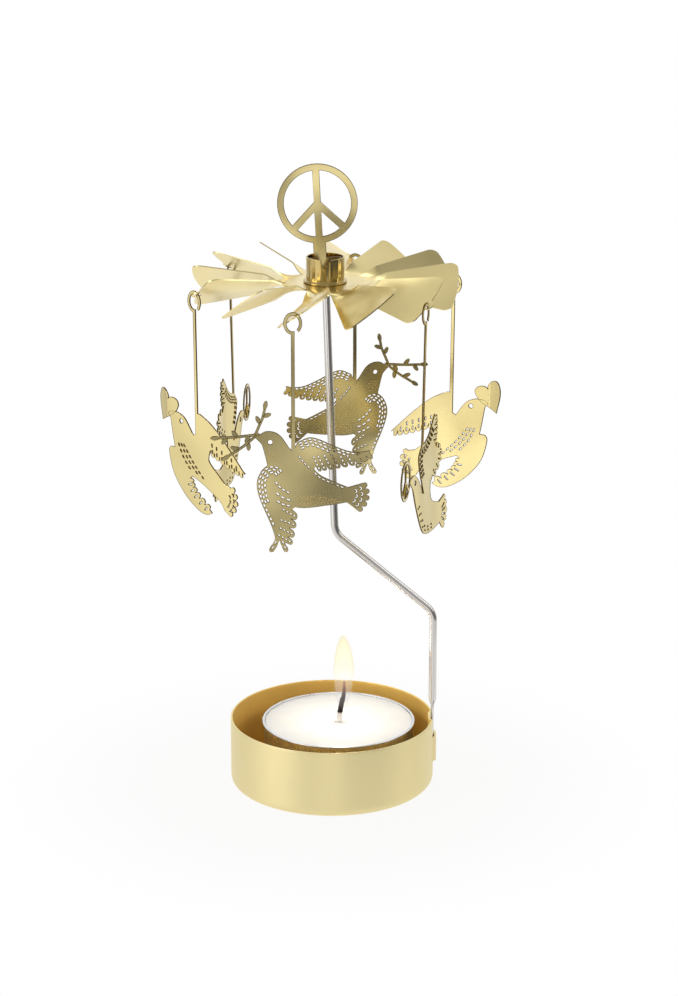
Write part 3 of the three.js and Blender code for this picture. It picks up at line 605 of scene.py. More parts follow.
# A hair thinner than the vane, so that no two faces lie in one plane
EAR_SHEET = WHEEL_SHEET * 0.98
EAR_DRILL = WHEEL_SHEET * 6


def vane_turn(vane):
    return Matrix.Rotation(math.radians(FIRST_VANE - vane * VANE_STEP), 4, "Z")


def ear_plugs(radius, depth):
    bm = bmesh.new()
    spot = Matrix.Rotation(PITCH, 4, "X") @ Matrix.Translation((EAR_REACH, EAR_CHORD, 0))
    plug = {"cap_ends": True, "segments": 40, "radius1": radius, "radius2": radius, "depth": depth}
    for vane in range(0, VANES, 2):
        bmesh.ops.create_cone(bm, matrix=vane_turn(vane) @ spot, **plug)
    return link_mesh("ear_plugs", bm)


def boolean(bm, tool, operation):
    blank = link_mesh("blank", bm)
    cut = blank.modifiers.new("cut", "BOOLEAN")
    cut.operation = operation
    cut.object = tool
    cut.solver = "EXACT"
    result = bmesh.new()
    result.from_object(blank, bpy.context.evaluated_depsgraph_get())
    bpy.data.objects.remove(blank)
    bpy.data.objects.remove(tool)
    return result


def make_wheel():
    bm = boolean(wheel_blank(), ear_plugs(EAR_RADIUS, EAR_SHEET), "UNION")
    bm = boolean(bm, ear_plugs(EAR_HOLE, EAR_DRILL), "DIFFERENCE")
    move(bm, (WHEEL_X, 0, WHEEL_HEIGHT))
    make_piece("twisted_wheel", bm, [lacquered_brass], "rotor", "satin_brass", "vane_wheel", sharp=50)


make_wheel()

# %% [markdown]
# ## The hub
# The hub is a drawn tube staked into the wheel: it has a collar above the sheet, a turned-over lip below it
# and a web inside that rides on the needle. Its rim has a V notch in front, through which the finial's foot
# shows. The profile is turned, and a wedge cuts the notch.

# %% Hub
HUB_RADIUS = 4.8
HUB_SHEET = 0.4
HUB_TOP = 140.4
HUB_WEB = 137.2
HUB_FLANGE = 5.5
HUB_EDGE = 0.12
WEB_FILLET = 0.3
COLLAR_FILLET = (0.15, 0.2)
SEAT = 0.1
DIMPLE = 0.25
DIMPLE_RADIUS = 0.7
NOTCH_WIDTH = 3.1
NOTCH_FLOOR = 0.2
NOTCH_START = 1.5


def hub_edge(radius, height, start, steps=3):
    return arc(radius, height, HUB_EDGE, start, start + 90, steps)


def hub_profile():
    bore, lip = HUB_RADIUS - HUB_SHEET, HUB_FLANGE - HUB_EDGE
    under_web = HUB_WEB - HUB_SHEET
    lip_top = WHEEL_HEIGHT - WHEEL_SHEET / 2 - SEAT
    lip_bottom = lip_top - HUB_SHEET
    collar = WHEEL_HEIGHT + WHEEL_SHEET / 2 + SEAT
    collar_top = collar + HUB_SHEET
    return [
        (0, under_web + DIMPLE),
        (DIMPLE_RADIUS, under_web),
        (bore, under_web),
        *hub_edge(bore + HUB_EDGE, lip_bottom + HUB_EDGE, 180),
        *hub_edge(lip, lip_bottom + HUB_EDGE, -90),
        *hub_edge(lip, lip_top - HUB_EDGE, 0),
        (HUB_RADIUS, lip_top),
        (HUB_RADIUS, collar),
        *hub_edge(lip, collar + HUB_EDGE, -90),
        *hub_edge(lip, collar_top - HUB_EDGE, 0),
        (HUB_RADIUS + COLLAR_FILLET[0], collar_top),
        (HUB_RADIUS, collar_top + COLLAR_FILLET[1]),
        *hub_edge(HUB_RADIUS - HUB_EDGE, HUB_TOP - HUB_EDGE, 0, 4),
        *hub_edge(bore + HUB_EDGE, HUB_TOP - HUB_EDGE, 90, 4),
        (bore, HUB_WEB + WEB_FILLET),
        (bore - WEB_FILLET, HUB_WEB),
        (DIMPLE_RADIUS, HUB_WEB),
        (0, HUB_WEB + DIMPLE),
    ]


def notch_wedge():
    wedge = bmesh.new()
    half, rim = NOTCH_WIDTH / 2, HUB_TOP + HUB_SHEET
    corners = ((-half, 0, rim), (0, 0, HUB_WEB + NOTCH_FLOOR), (half, 0, rim))
    side = wedge.faces.new([wedge.verts.new(c) for c in corners])
    made = bmesh.ops.extrude_face_region(wedge, geom=[side])["geom"]
    front = only(made, bmesh.types.BMVert)
    bmesh.ops.translate(wedge, vec=(0, -HUB_RADIUS - 1, 0), verts=front)
    move(wedge, (0, -NOTCH_START, 0))
    bmesh.ops.recalc_face_normals(wedge, faces=wedge.faces)
    return link_mesh("wedge", wedge)


def make_hub():
    bm = boolean(turn(hub_profile(), 96), notch_wedge(), "DIFFERENCE")
    move(bm, (WHEEL_X, 0, 0))
    make_piece("staked_hub", bm, [buffed_brass_painted_shade], "rotor", "polished_brass", "hub", sharp=30)


make_hub()

# %% [markdown]
# ## Stamped sheet
# The finial and the doves are flat stampings: an outline with holes in it. Blender's own flat curve is made
# for that. Its first closed line is the outline, the lines inside it are holes, and it fills the sheet,
# gives it its thickness and breaks its edges. It becomes a mesh before it is hung in its place. Shears
# leave a rough edge that lacquer fills. The cut walls and a thin band beside them, made with inset, get a
# darker brass: painted shade, for the dark line that a rounded edge shows.

# %% Stamped sheet
# Width of the band of painted shade beside each cut edge
PAINTED_SHADE_BAND = 0.12


def stamp(loops, thickness, edge=0.03):
    curve = bpy.data.curves.new("stamping", "CURVE")
    curve.dimensions = "2D"
    curve.fill_mode = "BOTH"
    curve.extrude = thickness / 2 - edge
    curve.bevel_depth = edge
    curve.bevel_resolution = 1
    for loop in loops:
        spline = curve.splines.new("POLY")
        spline.points.add(len(loop) - 1)
        for point, place in zip(spline.points, loop):
            point.co = (place[0], place[1], 0, 1)
        spline.use_cyclic_u = True
    drawn = bpy.data.objects.new("stamping", curve)
    scene.collection.objects.link(drawn)
    depsgraph = bpy.context.evaluated_depsgraph_get()
    mesh = bpy.data.meshes.new_from_object(drawn.evaluated_get(depsgraph))
    bm = bmesh.new()
    bm.from_mesh(mesh)
    bpy.data.objects.remove(drawn)
    bpy.data.meshes.remove(mesh)
    bmesh.ops.remove_doubles(bm, verts=bm.verts, dist=1e-4)
    bm.normal_update()
    flat = [f for f in bm.faces if abs(f.normal.z) > 0.9]
    # Walls, bevels and a thin band beside them get the second finish, a darker brass that paints the edge's
    # shade
    for face in bm.faces:
        face.material_index = 1
    bmesh.ops.inset_region(bm, faces=flat, thickness=PAINTED_SHADE_BAND, use_even_offset=True)
    for face in flat:
        face.material_index = 0
    return bm


# %% [markdown]
# ## The finial
# The finial is a peace sign with a stem and a wide foot that stands in the hub. Its bars divide the ring
# into four openings, and each opening is a corner near the middle and an arc along the ring. It leans a
# little to the left, as it does in the photograph.

# %% Finial
FINIAL_RADIUS = 9.95
FINIAL_BAND = 1.55
FINIAL_BAR = 1.65
FINIAL_STEM = 3.1
FINIAL_SHEET = 0.5
FINIAL_EDGE = 0.05
FINIAL_FOOT_BOTTOM = 137.7
FINIAL_FOOT_TOP = 140.1
FINIAL_FOOT_HALF = 4.15
FINIAL_SHIFT = -1.1
FINIAL_RING_BOTTOM = 143.9
FINIAL_LEAN = math.radians(2.9)
BAR_ANGLES = (90, 225, 270, 315, 450)
STAND_UP = Matrix.Rotation(math.pi / 2, 4, "X")


def sign_openings(radius, band, bar, steps):
    inner = radius - band
    margin = math.degrees(math.asin(bar / 2 / inner))
    openings = []
    for start, end in zip(BAR_ANGLES, BAR_ANGLES[1:]):
        half = math.radians((end - start) / 2)
        middle = math.radians((start + end) / 2)
        reach = bar / 2 / math.sin(half)
        corner = (reach * math.cos(middle), reach * math.sin(middle))
        openings.append([corner] + arc(0, 0, inner, start + margin, end - margin, steps))
    return openings


def make_finial():
    half = FINIAL_STEM / 2
    centre = FINIAL_RING_BOTTOM + FINIAL_RADIUS
    drop, bottom = FINIAL_FOOT_TOP - centre, FINIAL_FOOT_BOTTOM - centre
    gap = math.degrees(math.asin(half / FINIAL_RADIUS))
    left, right = -FINIAL_FOOT_HALF - FINIAL_SHIFT, FINIAL_FOOT_HALF - FINIAL_SHIFT
    outline = arc(0, 0, FINIAL_RADIUS, -90 + gap, 270 - gap, 120)
    outline += [(-half, drop), (left, drop), (left, bottom), (right, bottom), (right, drop), (half, drop)]
    openings = sign_openings(FINIAL_RADIUS, FINIAL_BAND, FINIAL_BAR, 40)
    bm = stamp([outline] + openings, FINIAL_SHEET, FINIAL_EDGE)
    place = (
        Matrix.Translation((WHEEL_X, 0, FINIAL_FOOT_BOTTOM))
        @ Matrix.Rotation(-FINIAL_LEAN, 4, "Y")
        @ Matrix.Translation((FINIAL_SHIFT, 0, -bottom))
        @ STAND_UP
    )
    bmesh.ops.transform(bm, matrix=place, verts=bm.verts)
    finish = [lacquered_brass, sheared_brass_painted_shade]
    make_piece("peace_finial", bm, finish, "rotor", "satin_brass", "finial", sharp=15)


make_finial()

# %% [markdown]
# ## Drawing a dove
# A dove is drawn from a few smooth lines, with rows of feathers between them. A row of feathers needs only
# the line on which they stand: each gets its share of the line's length, a rounded end and the way it
# points. The slots that let the light through are short dashes along lines that run beside the wing's edge.


# %% Smooth lines
def along(points, share):
    place = share * (len(points) - 1)
    i = min(int(place), len(points) - 2)
    t = place - i
    a, b = Vector(points[i]), Vector(points[i + 1])
    slope_a = (b - Vector(points[max(i - 1, 0)])) / 2
    slope_b = (Vector(points[min(i + 2, len(points) - 1)]) - a) / 2
    return (
        a * (2 * t**3 - 3 * t**2 + 1)
        + slope_a * (t**3 - 2 * t**2 + t)
        + b * (3 * t**2 - 2 * t**3)
        + slope_b * (t**3 - t**2)
    )


def flow(points, steps):
    return [along(points, i / steps) for i in range(steps + 1)]


def left_of(way):
    return Vector((-way.y, way.x))


# %% Feathers
FEATHER_END = 0.42
FEATHER_HALF = 0.43


def feather_row(points, count, lean):
    row = []
    for i in range(count):
        root = along(points, i / count)
        width = along(points, (i + 1) / count) - root
        heading = width.normalized()
        row.append((root, width, left_of(heading) + heading * lean))
    return row


def feather_ends(row, length):
    outline = []
    for root, width, out in row:
        outline.append(root)
        end = width.length * FEATHER_END
        middle = root + width * 0.5 + out * (length - end)
        for i in range(9):
            angle = math.pi * (1 - i / 8)
            sideways = width * FEATHER_HALF * math.cos(angle)
            outline.append(middle + sideways + out * (end * math.sin(angle)))
    outline.append(row[-1][0] + row[-1][1])
    return outline


# %% Slots
SCALLOP_ROWS = ((2.3, 3), (3.6, 4))
SCALLOP_BAND = 0.29
SCALLOP_HALF = 95
EYE_RADIUS = 0.6


def dash(centre, heading, length, width):
    ahead = heading.normalized()
    aside = left_of(ahead)
    reach = length / 2 - width / 2
    loop = []
    for side in (1, -1):
        for i in range(5):
            angle = math.pi * (0.5 - i / 4)
            tip = ahead * (reach + width / 2 * math.cos(angle)) + aside * (width / 2 * math.sin(angle))
            loop.append(centre + side * tip)
    return loop


def dash_line(points, pitch=1.3, fill=0.68, inset=0, width=0.46):
    line = flow(points, 60)
    ways = [(b - a).normalized() for a, b in zip(line, line[1:])]
    line = [p + Vector((way.y, -way.x)) * inset for p, way in zip(line, ways + ways[-1:])]
    steps = [(b - a).length for a, b in zip(line, line[1:])]
    count = max(1, round(sum(steps) / pitch))
    pitch = sum(steps) / count
    loops = []
    for i in range(count):
        rest = (i + 0.5) * pitch
        k = 0
        while rest > steps[k]:
            rest -= steps[k]
            k += 1
        heading = (line[k + 1] - line[k]).normalized()
        loops.append(dash(line[k] + heading * rest, heading, pitch * fill, width))
    return loops


def feather_dashes(row, inward, outward, pitch=1.2, width=0.36):
    loops = []
    for root, spread, out in row:
        middle = root + spread * 0.5
        loops += dash_line([middle - out * inward, middle + out * outward], pitch, 0.62, 0, width)
    return loops


def tail_scallops(x, y, upper, lower, size=0.48):
    loops = []
    for radius, count in SCALLOP_ROWS:
        for i in range(count):
            angle = upper + (lower - upper) * (i + 0.5) / count
            centre = arc(x, y, radius, angle, angle, 1)[0]
            left, right = angle + SCALLOP_HALF, angle - SCALLOP_HALF
            band = arc(*centre, size, left, right, 8) + arc(*centre, size - SCALLOP_BAND, right, left, 4)
            loops.append([Vector(p) for p in band])
    return loops


def eye(x, y):
    return [Vector(p) for p in arc(x, y, EYE_RADIUS, 0, 345, 23)]


# %% [markdown]
# ## Ring and strip
# Each dove hangs on a narrow strip that ends in an open ring. The ring's two ellipses leave a gap to the
# lower right, through which it was hooked into the wheel.

# %% Ring and strip
PENDANT_SHEET = 0.3
RING_WIDTH = 4.5
RING_HEIGHT = 5.5
RING_BAND = 0.75
RING_OPENING = -50
STRIP_HALF = 0.425
STRIP_LENGTH = 32
BRANCH_STRIP_LENGTH = 30.6


def ring_and_strip(length, foot_x, left_foot, right_foot):
    outer_x, outer_y = RING_WIDTH / 2, RING_HEIGHT / 2
    inner_x, inner_y = outer_x - RING_BAND, outer_y - RING_BAND
    start = 360 - math.degrees(math.acos(-STRIP_HALF / outer_x))
    end = 360 - math.degrees(math.acos(STRIP_HALF / inner_x))
    outside = [Vector((x * outer_x, y * outer_y)) for x, y in arc(0, 0, 1, start, RING_OPENING, 40)]
    inside = [Vector((x * inner_x, y * inner_y)) for x, y in arc(0, 0, 1, RING_OPENING, end, 36)]
    lift = Vector((0, length))
    left = Vector((foot_x - STRIP_HALF, left_foot))
    right = Vector((foot_x + STRIP_HALF, right_foot))
    return [left] + [p + lift for p in outside + inside] + [right]


# %% [markdown]
# ## The dove with a branch
# Its near wing hangs down and its far wing is raised behind it, both with three rows of dashes along the
# leading edge. The branch in its beak is three twigs with small leaves. Rows of fine marks are etched into
# its breast and belly; they are drawn as small dashes a hair above the sheet, in a finish of their own.

# %% Branch
TWIG_HALF = 0.31
LEAF_HALF = 0.52
LEAF_REACH = 1.1
LEAF_TURN = 0.9
LEAF_OVERLAP = 0.12


def twig(points, leaves):
    line = flow(points, 14)
    left, right = [], []
    for a, b in zip(line, line[1:] + [line[-1] * 2 - line[-2]]):
        across = left_of(b - a).normalized() * TWIG_HALF
        left.append(a + across)
        right.insert(0, a - across)
    loops = [left + right]
    for i in range(leaves):
        share = (i + 1) / leaves
        heading = along(points, share) - along(points, share - 0.05)
        turn_by = 0 if share == 1 else (LEAF_TURN if i % 2 == 0 else -LEAF_TURN)
        angle = math.atan2(heading.y, heading.x) + turn_by
        ahead = Vector((math.cos(angle), math.sin(angle)))
        base = along(points, share) - ahead * LEAF_OVERLAP
        leaf = []
        for k in range(16):
            t = math.pi * k / 8
            out, aside = LEAF_REACH * (1 - math.cos(t)), LEAF_HALF * math.sin(t)
            leaf.append(base + ahead * out + left_of(ahead) * aside)
        loops.append(leaf)
    return loops


def branch():
    upright = twig([(-9.2, 3), (-8, 5.8), (-7.3, 7.5), (-6.9, 9.4)], 3)
    level = twig([(-8.2, 3.1), (-13.5, 2.5), (-18, 2.3)], 4)
    return upright + level + twig([(-9.2, 2.6), (-12, 0.2), (-15.6, -2.2)], 3)


# %% Branch dove
def branch_dove():
    top = [(18.6, -2), (16.4, -3), (13.7, -3.8), (10.5, -4.3), (7.5, -4.8), (5.4, -5.1)]
    raised = feather_row(top, 9, -0.3)
    tail = feather_row(arc(13, -12.5, 4.6, 38, -58, 4), 5, 0)
    back = [(-0.4, -16.1), (-1, -18.3), (-1.2, -20.7), (-1.65, -22.9), (-2.1, -24.5)]
    lowered = feather_row(back, 4, 0.3)
    wing_edge = [(1, 0.9), (3.75, 2.1), (6.3, 1.6), (9.75, 0), (13.3, -1.4), (16.2, -1.7), (18.7, -1.2)]
    inner_tip = [(-2, -25.2), (-1.4, -26.1), (-1.5, -26.8), (-2.3, -26.8), (-3, -25.3), (-3.5, -23.8)]
    hanging_edge = [(-4.5, -23.4), (-5.5, -20), (-8.2, -13.3), (-8.9, -9.4), (-7.9, -6.4), (-6.3, -4.8)]
    outline = [
        *ring_and_strip(BRANCH_STRIP_LENGTH, 0, -1, -0.3),
        *flow(wing_edge, 40),
        *feather_ends(raised, 1.5),
        *flow([(5, -5.9), (6.8, -7.6), (10.5, -9.4), (13.3, -10.6)], 14),
        *feather_ends(tail, 1.1),
        *flow([(13, -14.4), (10, -14.9), (3.5, -15.7), (0.3, -15.5)], 14),
        *feather_ends(lowered, 1.8),
        *flow(inner_tip, 12),
        *flow([(-4.2, -25.6), (-5, -26.8), (-5.9, -26.8), (-5.9, -26), (-5.1, -24.8)], 12),
        *flow(hanging_edge, 36),
        *flow([(-6.6, -3.4), (-7.4, -0.2), (-8, 1), (-9.7, 2.7)], 14),
        *flow([(-8, 3.1), (-6.6, 3.8), (-4.6, 3.6), (-2.9, 2.4), (-1.1, -0.3)], 20),
    ]
    shoulder = [(-2.4, -6.4), (-3.4, -5.2), (-5, -4.7), (-6.6, -5.2), (-7.9, -6.4), (-8.8, -9)]
    long_row = shoulder + [(-8.3, -13.2), (-6.9, -16.6), (-5.2, -20.4)]
    short_row = shoulder + [(-8.4, -13), (-7.7, -15)]
    holes = [
        eye(-5.6, 1.1),
        *dash_line(long_row, fill=0.7, inset=-0.45),
        *dash_line(short_row, fill=0.7, inset=-1.15),
        *dash_line(short_row, fill=0.7, inset=-1.85),
        *dash_line([(-4.5, -8.8), (-3, -10.6), (-0.8, -12)]),
        *dash_line([(-4.4, -11.6), (-2.6, -13), (-0.5, -13.8)]),
        *dash_line([(-4.2, -13.7), (-2.4, -14.8), (-0.6, -15.2)]),
        *feather_dashes(lowered, 2.4, 1.5, 1.05, 0.42),
        *dash_line([(-2.9, -23.8), (-1.9, -26.4)], 1.2, 0.62, width=0.36),
        *dash_line([(-4.1, -23.8), (-5.5, -26.4)], 1.2, 0.62, width=0.36),
        *dash_line(wing_edge, 1.25, 0.7, 0.42)[:-2],
        *dash_line(wing_edge[:5], 1.25, 0.7, 1.1),
        *dash_line(wing_edge[:4], 1.25, 0.7, 1.8),
        *feather_dashes(raised[3:5], 1.7, 1.2, 0.95, 0.4),
        *feather_dashes(raised[5:], 2.7, 1.2, 1.1, 0.42),
        *dash_line([(5, -6.6), (6.7, -8.2), (10.3, -9.9), (12.4, -10.8)], 1.2, 0.7, width=0.34),
        *dash_line([(1.2, -2.4), (2.6, -4.2), (4.1, -5.7)], 1.2, 0.7, width=0.34),
        *tail_scallops(12.9, -12.5, 36, -56, 0.57),
    ]
    return [outline] + holes


# %% Etched marks
ETCHED_ROWS = 6
ETCHED_WIDTH = 0.17


def etched_marks():
    marks = []
    for row in range(ETCHED_ROWS):
        left = -0.4 * (row % 2)
        tail_end = (12 - 1.1 * row + left, -14 + 0.3 * row)
        belly = [tail_end, (7 + left, -14.75 + 0.42 * row), (1 + left, -15 + 0.44 * row)]
        marks += dash_line(belly, 0.8, 0.62, width=ETCHED_WIDTH)
    for row in range(ETCHED_ROWS):
        right = 0.38 * (row % 2)
        breast = [(-6.7 + right, -1.6 - 0.5 * row), (-3.9 + right, -1.4 - 0.5 * row)]
        marks += dash_line(breast, 0.75, 0.6, width=ETCHED_WIDTH)
    return marks


print("branch dove slots:", len(branch_dove()) - 1, "etched marks:", len(etched_marks()))

# %% [markdown]
# ## The dove with a heart
# Both wings are spread, and a small heart hangs at its beak. Three rows of dashes cross its breast, and
# longer slots fill the feathers. The heart is two curves and their mirror image, and its outer part is
# curled back: the sheet is cut into narrow strips there, which a bend then follows.


# %% Heart dove
def heart_dove():
    raised = feather_row([(16.4, -8.8), (13, -8), (9, -6.5), (5.2, -5.2)], 7, -0.4)
    tail = feather_row(arc(9.5, -16.8, 4.2, 50, -66, 4), 5, 0)
    lowered = feather_row([(-2.2, -13.9), (-1.4, -16.2), (0.9, -18.6), (4.6, -20.9)], 6, 0.25)
    wing_tip = [(5.5, -21.6), (3.6, -22.4), (0.6, -21.8)]
    hanging_edge = wing_tip + [(-4, -18.8), (-8.1, -13.9), (-9.8, -8.5), (-9.2, -6.9)]
    outline = [
        *ring_and_strip(STRIP_LENGTH, 0.3, -2, 3.4),
        *flow([(1.5, 3.4), (5.1, 1.7), (8.5, -0.8), (12.4, -4.3), (17.2, -9)], 24),
        *feather_ends(raised, 1.4),
        *flow([(4.8, -6.2), (4.6, -8.2), (7.5, -10.9), (10.4, -13.2)], 14),
        *feather_ends(tail, 1.1),
        *flow([(10, -20), (8.2, -17.8), (2.6, -14.8), (-1.4, -13.3)], 14),
        *feather_ends(lowered, 1),
        *flow(hanging_edge, 40),
        *flow([(-7.7, -6.8), (-8.3, -4), (-8.8, -1.2), (-9.2, 0.6), (-10, 1.6)], 14),
        *flow([(-9.2, 2.3), (-7.3, 2.5), (-5.3, 2.1), (-3.5, 0.9), (-1, -2.5)], 20),
    ]
    breast = (
        [(-6.5, -5.2), (-4.6, -8.9), (-1.9, -11.9)],
        [(-5.6, -5.2), (-2.9, -9.2), (0.7, -12.6)],
        [(-4.7, -5.2), (-1.4, -9.3), (2.9, -13.5)],
    )
    holes = [eye(-5.2, 0.4)]
    for row in breast:
        holes += dash_line(row, 1.6, 0.6, width=0.36)
    holes += feather_dashes(raised[1:2], 1.2, 0.8, 2)
    holes += feather_dashes(raised[2:], 2.2, 0.8, 1.6)
    holes += feather_dashes(lowered[1:], 1.7, 0.5, 2.2)
    holes += tail_scallops(9.6, -16.8, 34, -58)
    return [outline] + holes


print("heart dove slots:", len(heart_dove()) - 1)

# %% Curled heart
HEART_HALF = 3.84
HEART_DROP = 6.5
CURL_START = -10.1
CURL_RADIUS = 2.15
CURL_ANGLE = math.radians(16)
CURL_STRIP = 0.15


def heart():
    half, drop = HEART_HALF, HEART_DROP
    lobe = interpolate_bezier((0, 0), (0, 0.26 * drop), (half, 0.38 * drop), (half, 0), 14)
    side = interpolate_bezier((half, 0), (half, -0.42 * drop), (0.35 * half, -0.7 * drop), (0, -drop), 14)
    right = lobe + side[1:]
    return right + [Vector((-p.x, p.y)) for p in reversed(right[1:-1])]


def curl(bm):
    for i in range(5):
        everything = bm.verts[:] + bm.edges[:] + bm.faces[:]
        fold = (CURL_START - CURL_STRIP * i, 0, 0)
        bmesh.ops.bisect_plane(bm, geom=everything, plane_co=fold, plane_no=(1, 0, 0))
    for vert in bm.verts:
        beyond = CURL_START - vert.co.x
        if beyond > 0:
            angle = min(beyond / CURL_RADIUS, CURL_ANGLE)
            straight = beyond - angle * CURL_RADIUS
            radius = CURL_RADIUS + vert.co.z
            vert.co.x = CURL_START - radius * math.sin(angle) - straight * math.cos(angle)
            vert.co.z += -radius * (1 - math.cos(angle)) - straight * math.sin(angle)


# %% [markdown]
# ## The dove with a peace sign
# One wing stands up, the other is spread behind it, and a small peace sign hangs at its beak. Its strip
# runs a little slanting, and short slots dot its belly.


# %% Sign dove
def sign_dove():
    raised = feather_row([(6.9, 4.4), (7.4, 1.4), (6.6, -2)], 5, -0.2)
    spread = feather_row([(7.6, -3.6), (10.2, -5), (9.4, -8), (5.4, -10.2)], 6, -0.2)
    tail_root = (9.6, -21.6)
    tail = feather_row(arc(*tail_root, 4.8, 54, -60, 4), 5, 0)
    belly = [(10.4, -24), (5.6, -24.6), (0.8, -24.3), (-2.1, -22.2), (-5.6, -15.8), (-7.8, -10.4)]
    outline = [
        *ring_and_strip(STRIP_LENGTH, -1.6, -1, -0.6),
        *flow([(0.2, -0.4), (2.6, 0.9), (4.9, 3.5), (6.4, 5.2)], 12),
        *feather_ends(raised, 1.2),
        *feather_ends(spread, 1.3),
        *flow([(3.9, -11.8), (3.8, -14.3), (5.2, -16.8), (9.6, -18.4)], 16),
        *feather_ends(tail, 1.1),
        *flow(belly, 30),
        *flow([(-10, -7.8), (-8.6, -7.2), (-6.7, -7.1), (-4.3, -8.7), (-2.6, -11), (-1, -13.4)], 20),
        *flow([(-1.9, -10.4), (-3.5, -6.4), (-4, -3.4), (-2.8, -1.6)], 10),
    ]
    front = [(-2.1, -9.6), (-3.5, -6.4), (-3.7, -3.4), (-2.3, -1.5), (0.4, -0.7), (2.8, 0.8), (4.6, 2.8)]
    holes = [eye(-6.4, -9.1)]
    for inset in (0.5, 1.2, 1.9):
        holes += dash_line(front, fill=0.6, inset=inset, width=0.34)
    holes += feather_dashes(raised[1:], 1.2, 0.7, width=0.34)
    holes += feather_dashes(spread[2:], 1.2, 0.7, width=0.34)
    for inset in (0.9, 1.8):
        holes += dash_line(belly[1:5], 2.2, 0.24, inset, 0.5)
    for i in range(4):
        angle = 38 - 84 * (i + 0.5) / 4
        ends = [arc(*tail_root, radius, angle, angle, 1)[0] for radius in (2.2, 4.4)]
        holes += dash_line(ends, 3, 0.9, width=0.42)
    return [outline] + holes


print("sign dove slots:", len(sign_dove()) - 1)

# %% [markdown]
# ## Hanging the doves
# Each kind of dove hangs twice, on opposite vanes. Its ring's centre lies a little below and beside the
# hole of the vane's ear, and each sheet has come to rest at its own angle to the wheel's rim. Twigs, heart
# and sign are stamped by themselves and joined to their dove. They are a hair thinner than it, so that no
# two faces lie in one plane.

# %% Dove sheets
CHARM_SHEET = PENDANT_SHEET * 0.98
HEART_PLACE = (-9.9, 5.3, 0)
HEART_TURN = math.radians(-25)
SIGN_PLACE = (-9.6, -6.5, 0)
SIGN_TURN = math.radians(9)
SIGN_RADIUS = 4.94
SIGN_REACH = 4.625
SIGN_BAND = 0.75


def join(first, second):
    mesh = bpy.data.meshes.new("joined")
    second.to_mesh(mesh)
    second.free()
    first.from_mesh(mesh)
    bpy.data.meshes.remove(mesh)


def branch_sheet():
    bm = stamp(branch_dove(), PENDANT_SHEET)
    for loop in branch():
        join(bm, stamp([loop], CHARM_SHEET))
    return bm


def heart_sheet():
    bm = stamp(heart_dove(), PENDANT_SHEET)
    charm = stamp([heart()], CHARM_SHEET)
    place = Matrix.Translation(HEART_PLACE) @ Matrix.Rotation(HEART_TURN, 4, "Z")
    bmesh.ops.transform(charm, matrix=place, verts=charm.verts)
    curl(charm)
    join(bm, charm)
    return bm


def sign_sheet():
    bm = stamp(sign_dove(), PENDANT_SHEET)
    ring = arc(0, 0, SIGN_RADIUS, 0, 357, 119)
    charm = stamp([ring] + sign_openings(SIGN_RADIUS, SIGN_BAND, SIGN_BAND, 20), CHARM_SHEET)
    turned = Matrix.Rotation(SIGN_TURN, 4, "Y") @ Matrix.Translation((-SIGN_REACH, 0, 0))
    bmesh.ops.transform(charm, matrix=Matrix.Translation(SIGN_PLACE) @ turned, verts=charm.verts)
    join(bm, charm)
    return bm


# %% Hanging
RING_SIDE = 1.2
RING_DROP = 1.9
ETCHED_RISE = 0.03
ETCHED_EDGE = 0.01


def hang(bm, vane, yaw, length):
    ear_height = WHEEL_HEIGHT + EAR_CHORD * math.sin(PITCH)
    place = (
        Matrix.Translation((WHEEL_X, 0, 0))
        @ vane_turn(vane)
        @ Matrix.Translation((EAR_REACH, EAR_CHORD * math.cos(PITCH), ear_height))
        @ Matrix.Rotation(math.radians(yaw + 90), 4, "Z")
        @ Matrix.Translation((-RING_SIDE, 0, -RING_DROP))
        @ STAND_UP
        @ Matrix.Translation((0, -length, 0))
    )
    bmesh.ops.transform(bm, matrix=place, verts=bm.verts)


for node, vane, yaw, sheet, length in (
    ("branch_dove_a", 0, 24, branch_sheet, BRANCH_STRIP_LENGTH),
    ("heart_dove_a", 2, 44, heart_sheet, STRIP_LENGTH),
    ("sign_dove_a", 4, 16, sign_sheet, STRIP_LENGTH),
    ("branch_dove_b", 6, 12, branch_sheet, BRANCH_STRIP_LENGTH),
    ("heart_dove_b", 8, 26, heart_sheet, STRIP_LENGTH),
    ("sign_dove_b", 10, 22, sign_sheet, STRIP_LENGTH),
):
    bm = sheet()
    hang(bm, vane, yaw, length)
    finish = [lacquered_brass, sheared_brass_painted_shade]
    make_piece(f"{node}_sheet", bm, finish, node, "satin_brass", node, sharp=15)
    if sheet is branch_sheet:
        marks = stamp(etched_marks(), PENDANT_SHEET + ETCHED_RISE, ETCHED_EDGE)
        hang(marks, vane, yaw, length)
        make_piece(f"{node}_etching", marks, [etched_brass, etched_brass], node, "satin_brass", sharp=15)

# %% [markdown]
# ## The tealight
# A tealight is a thin pressed shell, filled with wax that was melted once and so meets the shell in a small
# meniscus, dips towards the wick and climbs it a little. Shell and wax are turned from a profile. The wick
# leans to the right, and a ring of edges is pulled along its line. The wick holder is hidden in the wax, so
# it keeps its solid and only gets its tin. The wick's glowing tip is a piece of its own above the solid.

# %% Shell and wax
TEALIGHT_X = 1.7
TEALIGHT_BASE = 0.5
TEALIGHT_RADIUS = 19.5
TEALIGHT_HEIGHT = 16.3
SHELL_CORNER = 0.9
SHELL_FLOOR_MARGIN = 1.4
INNER_CORNER = 0.7
INNER_CORNER_TOP = 1
FOIL = 0.25
BEAD = 0.45
WAX_GAP = 0.1
WAX_CORNER = 0.9
WAX_BELOW_RIM = 0.5
WAX_TOP = TEALIGHT_HEIGHT - WAX_BELOW_RIM
WAX_DISH = 0.5
MENISCUS = 0.25
MENISCUS_REACH = 0.6
CLIMB = 0.35
CLIMB_REACH = 0.5
WICK_HOLE = 0.85
HOLDER_RADIUS = 6.1
HOLDER_TOP = 0.7
SLEEVE_RADIUS = 1.3
SLEEVE_TOP = 3.6


